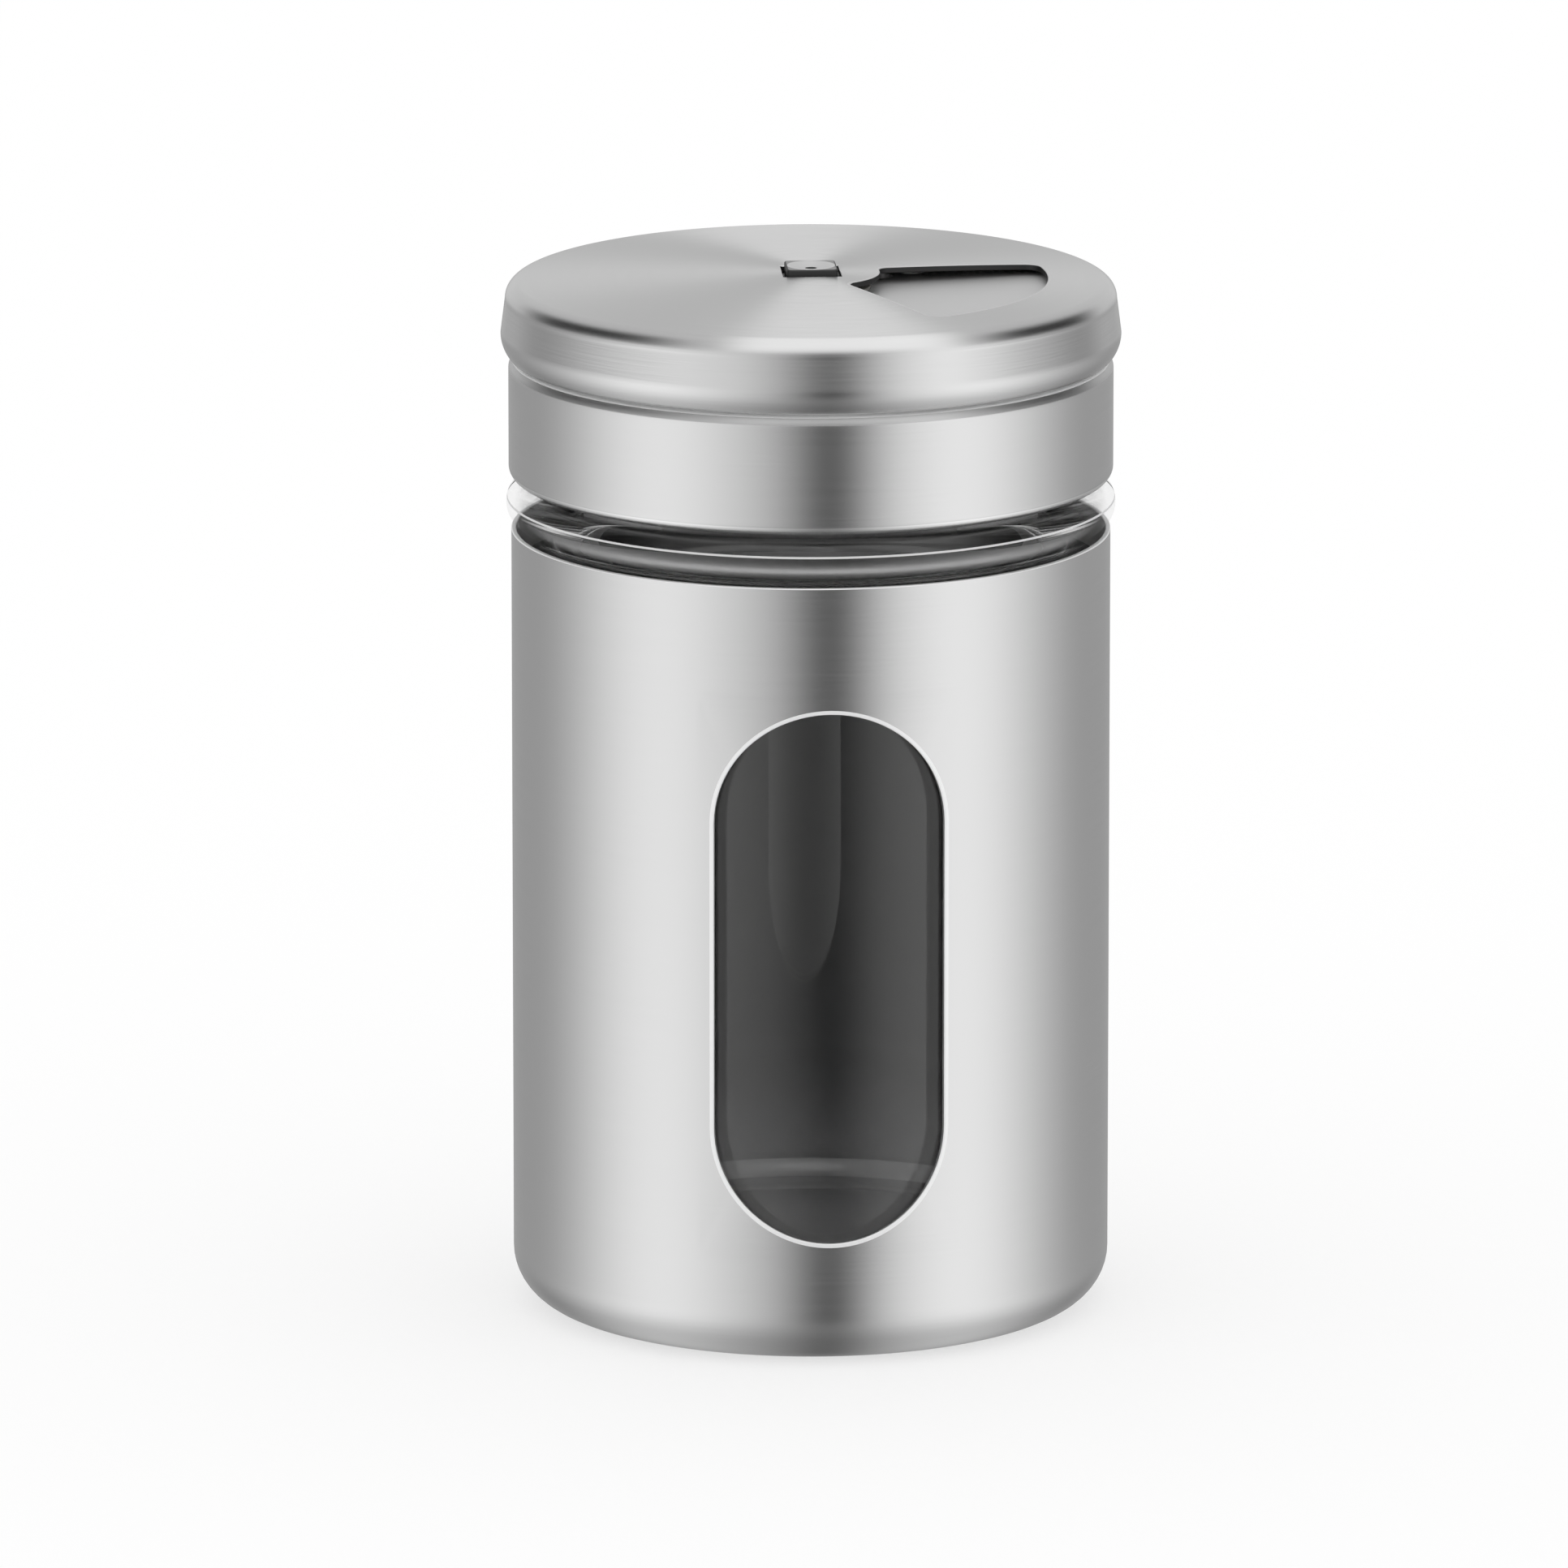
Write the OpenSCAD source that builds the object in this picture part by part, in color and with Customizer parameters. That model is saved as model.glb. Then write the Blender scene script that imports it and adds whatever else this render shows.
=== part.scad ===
// Spice shaker for a restaurant table: a glass jar in a steel sleeve with a viewing window, closed by a
// screw ring with a sifter top under a turning cap. The cap's fan opening is set over fine holes, coarse
// holes, a pour opening or plain steel.
// Millimetres, +Z up. The origin is the middle of the base, and the window faces -Y.

/* [Sleeve] */
// Outer diameter of the steel sleeve
sleeve_d = 47; // [44:0.5:52]
// Height of the sleeve's top edge above the table
sleeve_h = 62.2; // [56:0.1:75]
// Sheet thickness of the sleeve
sleeve_wall = 0.4; // [0.3:0.05:0.6]
// Outer radius of the turned-in bottom corner
sleeve_corner_r = 4.2; // [1.5:0.1:4.5]
// Width of the flat rim that the sleeve stands on
sleeve_foot_w = 1.8; // [1.2:0.1:3]

/* [Window] */
// Width of the viewing window, measured straight across
window_w = 18; // [12:0.5:22]
// Height of the viewing window
window_h = 42.2; // [30:0.2:44]
// Height of the window's lowest point above the table
window_sill = 10; // [6:0.5:11]

/* [Glass jar] */
// Clearance between the jar and the sleeve all round
jar_gap = 0.2; // [0.15:0.05:0.4]
// Thickness of the jar's side
glass_wall = 1.8; // [1.4:0.1:2.6]
// Thickness of the jar's floor at its middle
glass_floor = 3.2; // [1.6:0.1:4.5]
// How much rounder the jar's bottom corner is than the inside of the sleeve's
heel_ease = 0.1; // [0:0.05:0.5]
// Radius of the jar's inner bottom corner
floor_corner_r = 2.2; // [1.6:0.2:6]
// Rise of the jar's underside at its middle
punt_h = 0.6; // [0.4:0.1:1.5]
// Height of the round bead above the sleeve
bead_h = 3.5; // [3:0.1:4.5]
// How far the bead stands out beyond the sleeve
bead_proud = 0.4; // [0.2:0.05:0.8]
// Gap between the sleeve's top edge and the bead's lowest point
bead_rest_gap = 0.3; // [0.2:0.05:0.6]
// Height of the mouth above the sleeve's top edge
neck_h = 16.6; // [15:0.1:20]
// Wall of the neck
neck_wall = 2.5; // [2:0.1:3]

/* [Screw ring] */
// How far the ring's skirt stands out beyond the sleeve
ring_proud = 0.2; // [0:0.05:0.5]
// Sheet thickness of the ring and its sifter top
ring_wall = 0.4; // [0.3:0.05:0.5]
// Height of the ring's skirt, up to its shoulder
ring_skirt_h = 9.5; // [8:0.1:10.5]
// Gap between the glass bead and the ring's bottom edge
ring_bead_gap = 0.3; // [0.2:0.05:1]
// Outer radius of the ring's turned-in bottom edge
ring_edge_r = 0.9; // [0.7:0.1:1.2]
// How far the bottom edge is turned in under the insert
ring_turn_in = 1.5; // [1.2:0.1:1.8]
// Radius of the rounded shoulder below the cap
shoulder_r = 0.85; // [0.6:0.05:1.2]
// Radius of the sifter top's outer edge
sifter_edge_r = 0.8; // [0.6:0.1:1.2]

/* [Insert and gasket] */
// Clearance between the insert and the steel ring
insert_fit = 0.1; // [0.05:0.01:0.15]
// Wall of the insert inside the cap, without its thread
insert_wall = 0.9; // [0.7:0.05:1.2]
// Room between the insert and the neck, which the thread fills
thread_room = 1.2; // [1:0.05:1.4]
// Thickness of the insert's flange over the jar's mouth
flange_t = 0.9; // [0.8:0.1:1.6]
// Thickness of the gasket
gasket_t = 0.9; // [0.7:0.1:1.4]
// How far the flange and the gasket stand back from the bore
flange_back = 0.4; // [0.2:0.1:0.8]
// Clearance on the flat faces of stacked pieces
face_gap = 0.05; // [0.03:0.01:0.08]

/* [Cap] */
// How far the cap's widest line stands out beyond the ring's skirt
cap_flare = 0.6; // [0.4:0.05:1]
// How much narrower the cap is at its top than at its widest line
cap_taper = 0.35; // [0:0.05:0.6]
// Sheet thickness of the cap
cap_wall = 0.5; // [0.4:0.05:0.6]
// Radius of the fold between the cap's top and its side
cap_fold_r = 1.3; // [0.7:0.1:1.5]
// Radius of the curl at the cap's lower edge
cap_curl_r = 2.6; // [1.5:0.1:2.8]
// Angle that the curl turns in from upright
cap_curl_angle = 45; // [40:1:60]
// Rise of the domed top from its edge to its middle
cap_dome = 0.74; // [0.3:0.02:1.2]
// Gap between the cap and the sifter top at their edge
cap_turn_gap = 0.16; // [0.1:0.02:0.3]
// Gap between the cap's lower edge and the ring below and beside it
cap_lip_gap = 0.25; // [0.15:0.05:0.4]

/* [Openings in the lid] */
// Radius of the hub inside the fan opening
hub_r = 5.4; // [5.2:0.1:6.5]
// How far the fan opening reaches beyond the bore of the neck
fan_over = 0.7; // [0.2:0.1:1.5]
// Angle that the fan opening spans
fan_span = 76; // [60:1:80]
// Direction of the fan opening's middle line
fan_turn = -25; // [-180:5:180]
// Radius of the fan opening's corners
fan_corner_r = 1; // [0.5:0.1:1.5]
// Steel left round the pour opening under the fan
pour_margin = 1; // [0.6:0.1:1.6]
// Diameter of the fine holes
fine_hole_d = 2; // [1.5:0.1:2.2]
// Least distance between the middles of neighbouring fine holes
fine_pitch = 3; // [2.8:0.1:4]
// Diameter of the coarse holes
coarse_hole_d = 4; // [3:0.1:4.4]
// Least distance between the middles of neighbouring coarse holes
coarse_pitch = 5.6; // [5.2:0.1:7]

/* [Centre stud] */
// Diameter of the stud's shank
stud_d = 3.8; // [3:0.1:4.2]
// Clearance between the shank and the hole it turns in
stud_fit = 0.08; // [0.03:0.01:0.1]
// Width of the stud's square end
tenon_w = 4; // [3.6:0.1:4.4]
// Gap round the square end in the cap's hole
tenon_gap = 0.25; // [0.1:0.05:0.35]
// How far the square end stands above the cap
tenon_proud = 0.45; // [0.2:0.05:0.6]
// Least rim left round the dish punched in the square end
dish_rim = 0.4; // [0.2:0.05:0.7]
// Depth of that dish
dish_depth = 0.22; // [0.1:0.02:0.3]
// How far the round collar under the cap reaches beyond the corners of the square hole
collar_over = 0.5; // [0.3:0.05:0.8]
// Thickness of the nylon washer under the collar
nylon_t = 0.3; // [0.2:0.02:0.34]
// How far the nylon washer reaches beyond the collar
nylon_over = 1; // [0.6:0.1:1.2]
// Sheet thickness of the spring washer
spring_t = 0.25; // [0.2:0.05:0.35]
// Height of the spring washer's dish
spring_rise = 0.25; // [0.15:0.05:0.4]
// Thickness of the flat back washer
back_t = 0.4; // [0.3:0.05:0.6]
// How far the stud's clinched end reaches beyond the shank
clinch_over = 1.1; // [0.8:0.1:1.4]
// How far both washers under the sifter top reach beyond the clinched end
washer_over = 1; // [0.6:0.1:1.6]
// Height of the clinched end
clinch_h = 0.55; // [0.4:0.05:0.7]

/* [Hidden] */
$fn = 96;
arc_steps = 6;
dome_steps = 8;
overrun = 1;

// Sleeve and jar
sleeve_r = sleeve_d / 2;
jar_r = sleeve_r - sleeve_wall - jar_gap;
jar_z = sleeve_wall;
punt_r = sleeve_r - sleeve_corner_r - sleeve_foot_w / 2;
heel_r = sleeve_corner_r - sleeve_wall + heel_ease;
cavity_r = jar_r - glass_wall;
floor_z = jar_z + punt_h + glass_floor;
floor_edge_z = floor_z - punt_h / 2;
mouth_z = sleeve_h + neck_h;
mouth_round = 0.6;
throat_r = 1.2;
cavity_top = sleeve_h - jar_gap;

// Bead round the jar
bead_section_r = bead_h / 2;
bead_axis_r = sleeve_r + bead_proud - bead_section_r;
bead_axis_z = sleeve_h + bead_rest_gap + bead_section_r;
bead_top = bead_axis_z + bead_section_r;
bead_start = -acos((jar_r - bead_axis_r) / bead_section_r);
bead_end = 110;
neck_foot_r = 0.8;

// Screw ring
ring_r = sleeve_r + ring_proud;
ring_z = bead_top + ring_bead_gap;
shoulder_z = ring_z + ring_skirt_h;

// Cap's side
flare_r = ring_r + cap_flare;
curl_axis_r = flare_r - cap_curl_r;
lip_z = shoulder_z + cap_lip_gap / 2;
curl_axis_z = lip_z + cap_curl_r * sin(cap_curl_angle);
lip_inner_r = curl_axis_r + (cap_curl_r - cap_wall) * cos(cap_curl_angle);
cap_top_r = flare_r - cap_taper;
fold_axis_r = cap_top_r - cap_fold_r;

// The part of the ring that the cap covers
ring_upper_r = lip_inner_r - cap_lip_gap;
shoulder_axis_r = ring_r - shoulder_r;
shoulder_axis_z = shoulder_z - shoulder_r;
shoulder_end = acos((ring_upper_r - shoulder_axis_r) / shoulder_r);
step_z = shoulder_axis_z + (shoulder_r - ring_wall) * sin(shoulder_end);

// From the ring inwards to the jar's bore
insert_r = ring_r - ring_wall - insert_fit;
insert_upper_r = ring_upper_r - ring_wall - insert_fit;
insert_bore_r = insert_upper_r - insert_wall;
neck_r = insert_bore_r - thread_room;
bore_r = neck_r - neck_wall;

// Stack on the jar's mouth, from the mouth up
gasket_z = mouth_z + face_gap;
flange_z = gasket_z + gasket_t + face_gap;
insert_top = flange_z + flange_t;
sifter_z = insert_top + face_gap;
sifter_top = sifter_z + ring_wall;
flange_r = bore_r + flange_back;

// Insert
insert_z = ring_z + ring_wall + face_gap;
insert_step_top = step_z - insert_fit;
insert_step_z = insert_step_top - (insert_r - insert_upper_r);
insert_ease = sifter_edge_r / 2;
insert_foot_ease = ring_edge_r - ring_wall;

// Cap's top
cap_edge_top = sifter_top + cap_turn_gap + cap_wall;
cap_top = cap_edge_top + cap_dome;

// Fan opening, and the sectors of the sifter a quarter turn apart
fan_outer_r = bore_r + fan_over;
pour_inner_r = hub_r + pour_margin;
pour_outer_r = fan_outer_r - pour_margin;
pour_mid_r = (pour_inner_r + pour_outer_r) / 2;
pour_span = fan_span - 2 * asin(pour_margin / pour_mid_r);
quarter = 90;
fine_sector = fan_turn + quarter;
pour_sector = fan_turn + 2 * quarter;
coarse_sector = fan_turn + 3 * quarter;

// Centre stud, from the sifter up and then down
stud_r = stud_d / 2;
stud_hole_r = stud_r + stud_fit;
tenon_hole_w = tenon_w + 2 * tenon_gap;
nylon_z = sifter_top + face_gap;
collar_z = nylon_z + nylon_t + face_gap;
collar_top = cap_top - cap_wall - face_gap;
stud_top = cap_top + tenon_proud;
collar_r = tenon_hole_w / sqrt(2) + collar_over;
clinch_r = stud_r + clinch_over;
washer_r = clinch_r + washer_over;
dish_r = tenon_w / 2 - dish_rim;
dish_sphere_r = (pow(dish_r, 2) + pow(dish_depth, 2)) / (2 * dish_depth);
dot_d = 0.6;
dot_depth = 0.3;
spring_top = sifter_z - face_gap;
spring_z = spring_top - spring_t - spring_rise;
back_z = spring_z - face_gap - back_t;
clinch_z = back_z - face_gap - clinch_h;
washer_hole_r = stud_r + stud_fit;

// Points along an arc about [x, y], from one angle to another
function arc(x, y, r, from, to, steps = arc_steps) =
    [for (i = [0:steps]) let (a = from + (to - from) * i / steps) [x + r * cos(a), y + r * sin(a)]];

// Points along a shallow parabola from the axis, at height top there, down by drop at radius r
function crown(r, top, drop) =
    [for (i = [0:dome_steps]) [r * i / dome_steps, top - drop * pow(i / dome_steps, 2)]];

function reverse(points) = [for (i = [len(points) - 1:-1:0]) points[i]];

module revolved(points) {
    rotate_extrude() polygon(points);
}

// A flat washer, standing on z
module washer(z, thickness, outer_r, inner_r) {
    translate([0, 0, z]) difference() {
        cylinder(h = thickness, r = outer_r);
        translate([0, 0, -overrun]) cylinder(h = thickness + 2 * overrun, r = inner_r);
    }
}

// A wedge of the plane from the origin, of one span about the X axis
module wedge(span, reach) {
    polygon([[0, 0],
             [reach * cos(span / 2), -reach * sin(span / 2)],
             [reach, -reach * tan(span / 4)],
             [reach, reach * tan(span / 4)],
             [reach * cos(span / 2), reach * sin(span / 2)]]);
}

// A fan-shaped opening with rounded corners, its middle line along X
module fan(inner_r, outer_r, span, corner_r) {
    offset(r = corner_r) offset(delta = -corner_r) difference() {
        intersection() {
            circle(r = outer_r);
            wedge(span, 2 * outer_r);
        }
        circle(r = inner_r);
    }
}

// Places from 0 to length, evenly spread and at least pitch apart
function spread(length, pitch) =
    let (n = floor(length / pitch)) [for (i = [0:n]) n > 0 ? length * i / n : length / 2];

// Rows of holes on arcs that fill the pour opening's outline, at least pitch apart
module hole_rows(hole_r, pitch) {
    inner_row = pour_inner_r + hole_r;
    outer_row = pour_outer_r - hole_r;
    for (step = spread(outer_row - inner_row, pitch)) {
        row_r = inner_row + step;
        row_span = pour_span - 2 * asin(hole_r / row_r);
        for (turn = spread(row_span, pitch / row_r * 180 / PI))
            rotate([0, 0, turn - row_span / 2])
                translate([row_r, 0, 0]) cylinder(h = ring_wall + 2 * overrun, r = hole_r);
    }
}

// Open cup of sheet steel with a turned-in foot rim and a tall window with round ends
module steel_sleeve() {
    corner_r = sleeve_r - sleeve_corner_r;
    foot_r = corner_r - sleeve_foot_w;
    window_r = window_w / 2;
    color("silver") difference() {
        revolved(concat(
            [[foot_r, 0]],
            arc(corner_r, sleeve_corner_r, sleeve_corner_r, -90, 0),
            [[sleeve_r, sleeve_h], [sleeve_r - sleeve_wall, sleeve_h]],
            arc(corner_r, sleeve_corner_r, sleeve_corner_r - sleeve_wall, 0, -90),
            [[foot_r, sleeve_wall]]));
        for (z = [window_sill + window_r, window_sill + window_h - window_r])
            translate([0, 0, z]) rotate([90, 0, 0]) cylinder(h = sleeve_r + overrun, r = window_r);
        translate([-window_r, -sleeve_r - overrun, window_sill + window_r])
            cube([window_w, sleeve_r + overrun, window_h - window_w]);
    }
}

// Blown jar: pushed-up underside, thick rounded floor, round bead above the sleeve and an open neck
module glass_jar() {
    underside = crown(punt_r, jar_z + punt_h, punt_h);
    heel = arc(jar_r - heel_r, jar_z + heel_r, heel_r, -90, 0);
    bead = arc(bead_axis_r, bead_axis_z, bead_section_r, bead_start, bead_end, 2 * arc_steps);
    neck_foot = arc(neck_r + neck_foot_r, bead_top + neck_foot_r, neck_foot_r, -90, -180);
    mouth_outside = arc(neck_r - mouth_round, mouth_z - mouth_round, mouth_round, 0, 90);
    mouth_inside = arc(bore_r + mouth_round, mouth_z - mouth_round, mouth_round, 90, 180);
    throat = arc(bore_r + throat_r, cavity_top + throat_r, throat_r, 180, 270);
    shoulder_in_r = cavity_r - bore_r - throat_r;
    shoulder_in = arc(bore_r + throat_r, cavity_top - shoulder_in_r, shoulder_in_r, 90, 0);
    floor_corner = arc(cavity_r - floor_corner_r, floor_edge_z + floor_corner_r, floor_corner_r, 0, -90);
    floor_crown = reverse(crown(cavity_r - floor_corner_r, floor_z, floor_z - floor_edge_z));
    color([0.80, 0.87, 0.87, 0.5]) revolved(concat(
        underside, heel, bead, neck_foot, mouth_outside, mouth_inside, throat, shoulder_in,
        floor_corner, [for (i = [1:dome_steps]) floor_crown[i]]));
}

// Drawn steel ring: skirt with turned-in edge, shoulder, upper wall inside the cap, and the sifter top
module sifter_ring() {
    outside = concat(
        [[ring_r - ring_turn_in, ring_z]],
        arc(ring_r - ring_edge_r, ring_z + ring_edge_r, ring_edge_r, -90, 0),
        arc(shoulder_axis_r, shoulder_axis_z, shoulder_r, 0, shoulder_end),
        arc(ring_upper_r - sifter_edge_r, sifter_top - sifter_edge_r, sifter_edge_r, 0, 90),
        [[0, sifter_top]]);
    inside = concat(
        [[0, sifter_z]],
        arc(ring_upper_r - sifter_edge_r, sifter_top - sifter_edge_r, sifter_edge_r - ring_wall, 90, 0),
        [[ring_upper_r - ring_wall, step_z]],
        arc(shoulder_axis_r, shoulder_axis_z, shoulder_r - ring_wall, shoulder_end, 0),
        arc(ring_r - ring_edge_r, ring_z + ring_edge_r, ring_edge_r - ring_wall, 0, -90),
        [[ring_r - ring_turn_in, ring_z + ring_wall]]);
    color("silver") difference() {
        revolved(concat(outside, inside));
        translate([0, 0, sifter_z - overrun]) {
            cylinder(h = ring_wall + 2 * overrun, r = stud_hole_r);
            rotate([0, 0, fine_sector]) hole_rows(fine_hole_d / 2, fine_pitch);
            rotate([0, 0, coarse_sector]) hole_rows(coarse_hole_d / 2, coarse_pitch);
            rotate([0, 0, pour_sector]) linear_extrude(height = ring_wall + 2 * overrun)
                fan(pour_inner_r, pour_outer_r, pour_span, fan_corner_r);
        }
    }
}

// Moulded insert that carries the ring's thread, with a flange over the jar's mouth
module thread_insert() {
    color("whitesmoke") revolved([
        [insert_bore_r, insert_z],
        [insert_r - insert_foot_ease, insert_z],
        [insert_r, insert_z + insert_foot_ease],
        [insert_r, insert_step_z],
        [insert_upper_r, insert_step_top],
        [insert_upper_r, insert_top - insert_ease],
        [insert_upper_r - insert_ease, insert_top],
        [flange_r, insert_top],
        [flange_r, flange_z],
        [insert_bore_r, flange_z]]);
}

// Soft ring between the flange and the jar's mouth
module mouth_gasket() {
    color("white") washer(gasket_z, gasket_t, insert_bore_r - insert_fit, flange_r);
}

// Cap with a domed top, a side that flares to a curled lower edge, the fan opening and the square hole
module turning_cap() {
    curl_end = -cap_curl_angle;
    outside = concat(
        crown(fold_axis_r, cap_top, cap_dome),
        arc(fold_axis_r, cap_edge_top - cap_fold_r, cap_fold_r, 75, 0),
        arc(curl_axis_r, curl_axis_z, cap_curl_r, 0, curl_end));
    inside = concat(
        arc(curl_axis_r, curl_axis_z, cap_curl_r - cap_wall, curl_end, 0),
        arc(fold_axis_r, cap_edge_top - cap_fold_r, cap_fold_r - cap_wall, 0, 75),
        reverse(crown(fold_axis_r, cap_top - cap_wall, cap_dome)));
    color("gainsboro") difference() {
        revolved(concat(outside, inside));
        translate([0, 0, sifter_top]) {
            rotate([0, 0, fan_turn]) linear_extrude(height = cap_top)
                fan(hub_r, fan_outer_r, fan_span, fan_corner_r);
            translate([-tenon_hole_w / 2, -tenon_hole_w / 2, 0]) cube([tenon_hole_w, tenon_hole_w, cap_top]);
        }
    }
}

// Stud that turns with the cap: dished square end above, collar, round shank, clinched end below
module centre_stud() {
    color("gainsboro") difference() {
        union() {
            translate([-tenon_w / 2, -tenon_w / 2, collar_z]) cube([tenon_w, tenon_w, stud_top - collar_z]);
            translate([0, 0, collar_z]) cylinder(h = collar_top - collar_z, r = collar_r);
            translate([0, 0, clinch_z]) cylinder(h = collar_top - clinch_z, r = stud_r);
            translate([0, 0, clinch_z]) cylinder(h = clinch_h, r = clinch_r);
        }
        translate([0, 0, stud_top + dish_sphere_r - dish_depth]) sphere(r = dish_sphere_r);
        translate([0, 0, stud_top - dish_depth - dot_depth]) cylinder(h = cap_top, d = dot_d);
    }
}

// Washer that the cap's collar turns on
module nylon_washer() {
    color("white") washer(nylon_z, nylon_t, collar_r + nylon_over, washer_hole_r);
}

// Dished washer that keeps the cap drawn down on the sifter top
module spring_washer() {
    color("silver") revolved([
        [washer_hole_r, spring_z],
        [washer_r, spring_z + spring_rise],
        [washer_r, spring_top],
        [washer_hole_r, spring_top - spring_rise]]);
}

// Flat washer between the spring washer and the clinched end
module back_washer() {
    color("silver") washer(back_z, back_t, washer_r, washer_hole_r);
}

steel_sleeve();
glass_jar();
sifter_ring();
thread_insert();
mouth_gasket();
turning_cap();
centre_stud();
nylon_washer();
spring_washer();
back_washer();
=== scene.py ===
"""Spice shaker dressed for its picture.

The solid model of the shaker is loaded first and stays as it is. Every piece is then built round it
as a finer surface with its own finish: brushed steel sleeve, ring and cap, clear glass jar, moulded
insert, gasket, stud and washers. A pale floor, a soft studio and a camera follow.
"""

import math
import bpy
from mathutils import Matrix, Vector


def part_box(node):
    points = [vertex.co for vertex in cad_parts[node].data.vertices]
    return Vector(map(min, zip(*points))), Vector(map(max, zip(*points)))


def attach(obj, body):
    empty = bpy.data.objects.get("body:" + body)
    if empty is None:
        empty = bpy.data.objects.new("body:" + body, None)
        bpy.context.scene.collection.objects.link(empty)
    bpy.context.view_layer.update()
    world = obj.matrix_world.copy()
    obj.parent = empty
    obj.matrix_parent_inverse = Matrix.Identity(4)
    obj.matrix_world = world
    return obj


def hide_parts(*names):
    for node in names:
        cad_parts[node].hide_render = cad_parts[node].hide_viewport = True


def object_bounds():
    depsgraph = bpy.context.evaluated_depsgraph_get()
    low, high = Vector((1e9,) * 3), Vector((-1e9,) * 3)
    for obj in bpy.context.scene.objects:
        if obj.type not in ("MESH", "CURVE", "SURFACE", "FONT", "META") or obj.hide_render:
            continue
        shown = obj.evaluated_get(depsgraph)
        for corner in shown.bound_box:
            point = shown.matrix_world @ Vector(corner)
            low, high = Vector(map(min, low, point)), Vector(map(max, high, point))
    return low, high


bl_info = {
    "name": "Spice Shaker",
    "version": (1, 0, 0),
    "blender": (4, 5, 0),
    "location": "3D View > Sidebar > Shaker",
    "description": "Builds the steel, glass and plastic pieces of a table spice shaker and its studio",
    "category": "Object",
}

import bpy
import numpy as np
from bpy.props import FloatProperty, FloatVectorProperty, IntProperty, PointerProperty
from bpy.types import Operator, Panel, PropertyGroup
from mathutils import Vector

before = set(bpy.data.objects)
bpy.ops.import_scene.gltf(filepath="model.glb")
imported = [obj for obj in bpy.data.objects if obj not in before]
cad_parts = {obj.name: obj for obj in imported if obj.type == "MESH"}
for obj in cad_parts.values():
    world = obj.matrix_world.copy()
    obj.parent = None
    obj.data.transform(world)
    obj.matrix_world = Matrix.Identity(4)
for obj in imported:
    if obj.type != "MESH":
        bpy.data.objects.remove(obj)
CAD_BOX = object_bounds()

MM = 0.001
TURN = 2 * math.pi

# Points closer than this are one, and a smaller radius than the second lies on the axis
SAME_POINT = 1e-7
ON_AXIS = 1e-9
# How far a face's middle may lie off the surface that it belongs to
NEAR = 0.01 * MM
HAIR = 0.001 * MM
# Points once round a steel sheet and round a threaded piece
SHEET_COLUMNS = 288
THREAD_COLUMNS = 256
# Most that the rows of a sheet, of the cap's dome, of a solid piece and of a thread lie apart
SHEET_STEP = 0.8 * MM
DOME_STEP = 0.5 * MM
SOLID_STEP = 2.0 * MM
THREAD_STEP = 0.22 * MM


def length(name, description, mm):
    """Length property, given in millimetres and held in metres."""
    return FloatProperty(name=name, description=description, default=mm * MM, min=0.0,
                         precision=5, subtype="DISTANCE", unit="LENGTH")


def angle(name, description, degrees):
    """Angle property, given in degrees and held in radians."""
    return FloatProperty(name=name, description=description, default=math.radians(degrees),
                         precision=2, subtype="ANGLE", unit="ROTATION")


def share(name, description, value, top=1.0):
    """Plain number from 0 to top."""
    return FloatProperty(name=name, description=description, default=value, min=0.0, max=top, precision=3)


def colour(name, description, value):
    """Colour property, linear red, green and blue."""
    return FloatVectorProperty(name=name, description=description, default=value, size=3,
                               min=0.0, max=1.0, subtype="COLOR")


def reach(node):
    """Largest radius of a solid about the shaker's axis."""
    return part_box(node)[1][0]


def foot(node):
    """Height of a solid's lowest point."""
    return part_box(node)[0][2]


def top(node):
    """Height of a solid's highest point."""
    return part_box(node)[1][2]


# Sizes and colours


class ShakerSleeve(PropertyGroup):
    """Sheet steel sleeve and its window."""
    wall: length("Sheet", "Sheet thickness of the sleeve", 0.4)
    corner: length("Corner", "Outer radius of the turned-in bottom corner", 4.2)
    foot_width: length("Foot", "Width of the flat rim that the sleeve stands on", 1.8)
    window_width: length("Window width", "Width of the window, straight across", 18.0)
    window_height: length("Window height", "Height of the window", 42.2)
    window_sill: length("Window sill", "Height of the window's lowest point", 10.0)
    edge: length("Edge", "Rounding of the cut edges", 0.1)
    # The rim round the window is painted near-white as a highlight
    painted_light_rim: length("Painted light rim", "Width of the rubbed rim round the window", 0.23)
    # The band inside the upper edge is painted near-white: painted light where the sleeve is in shade
    painted_light_inside: length("Painted light inside", "Height of the clean band inside the upper edge", 3.0)


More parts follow.
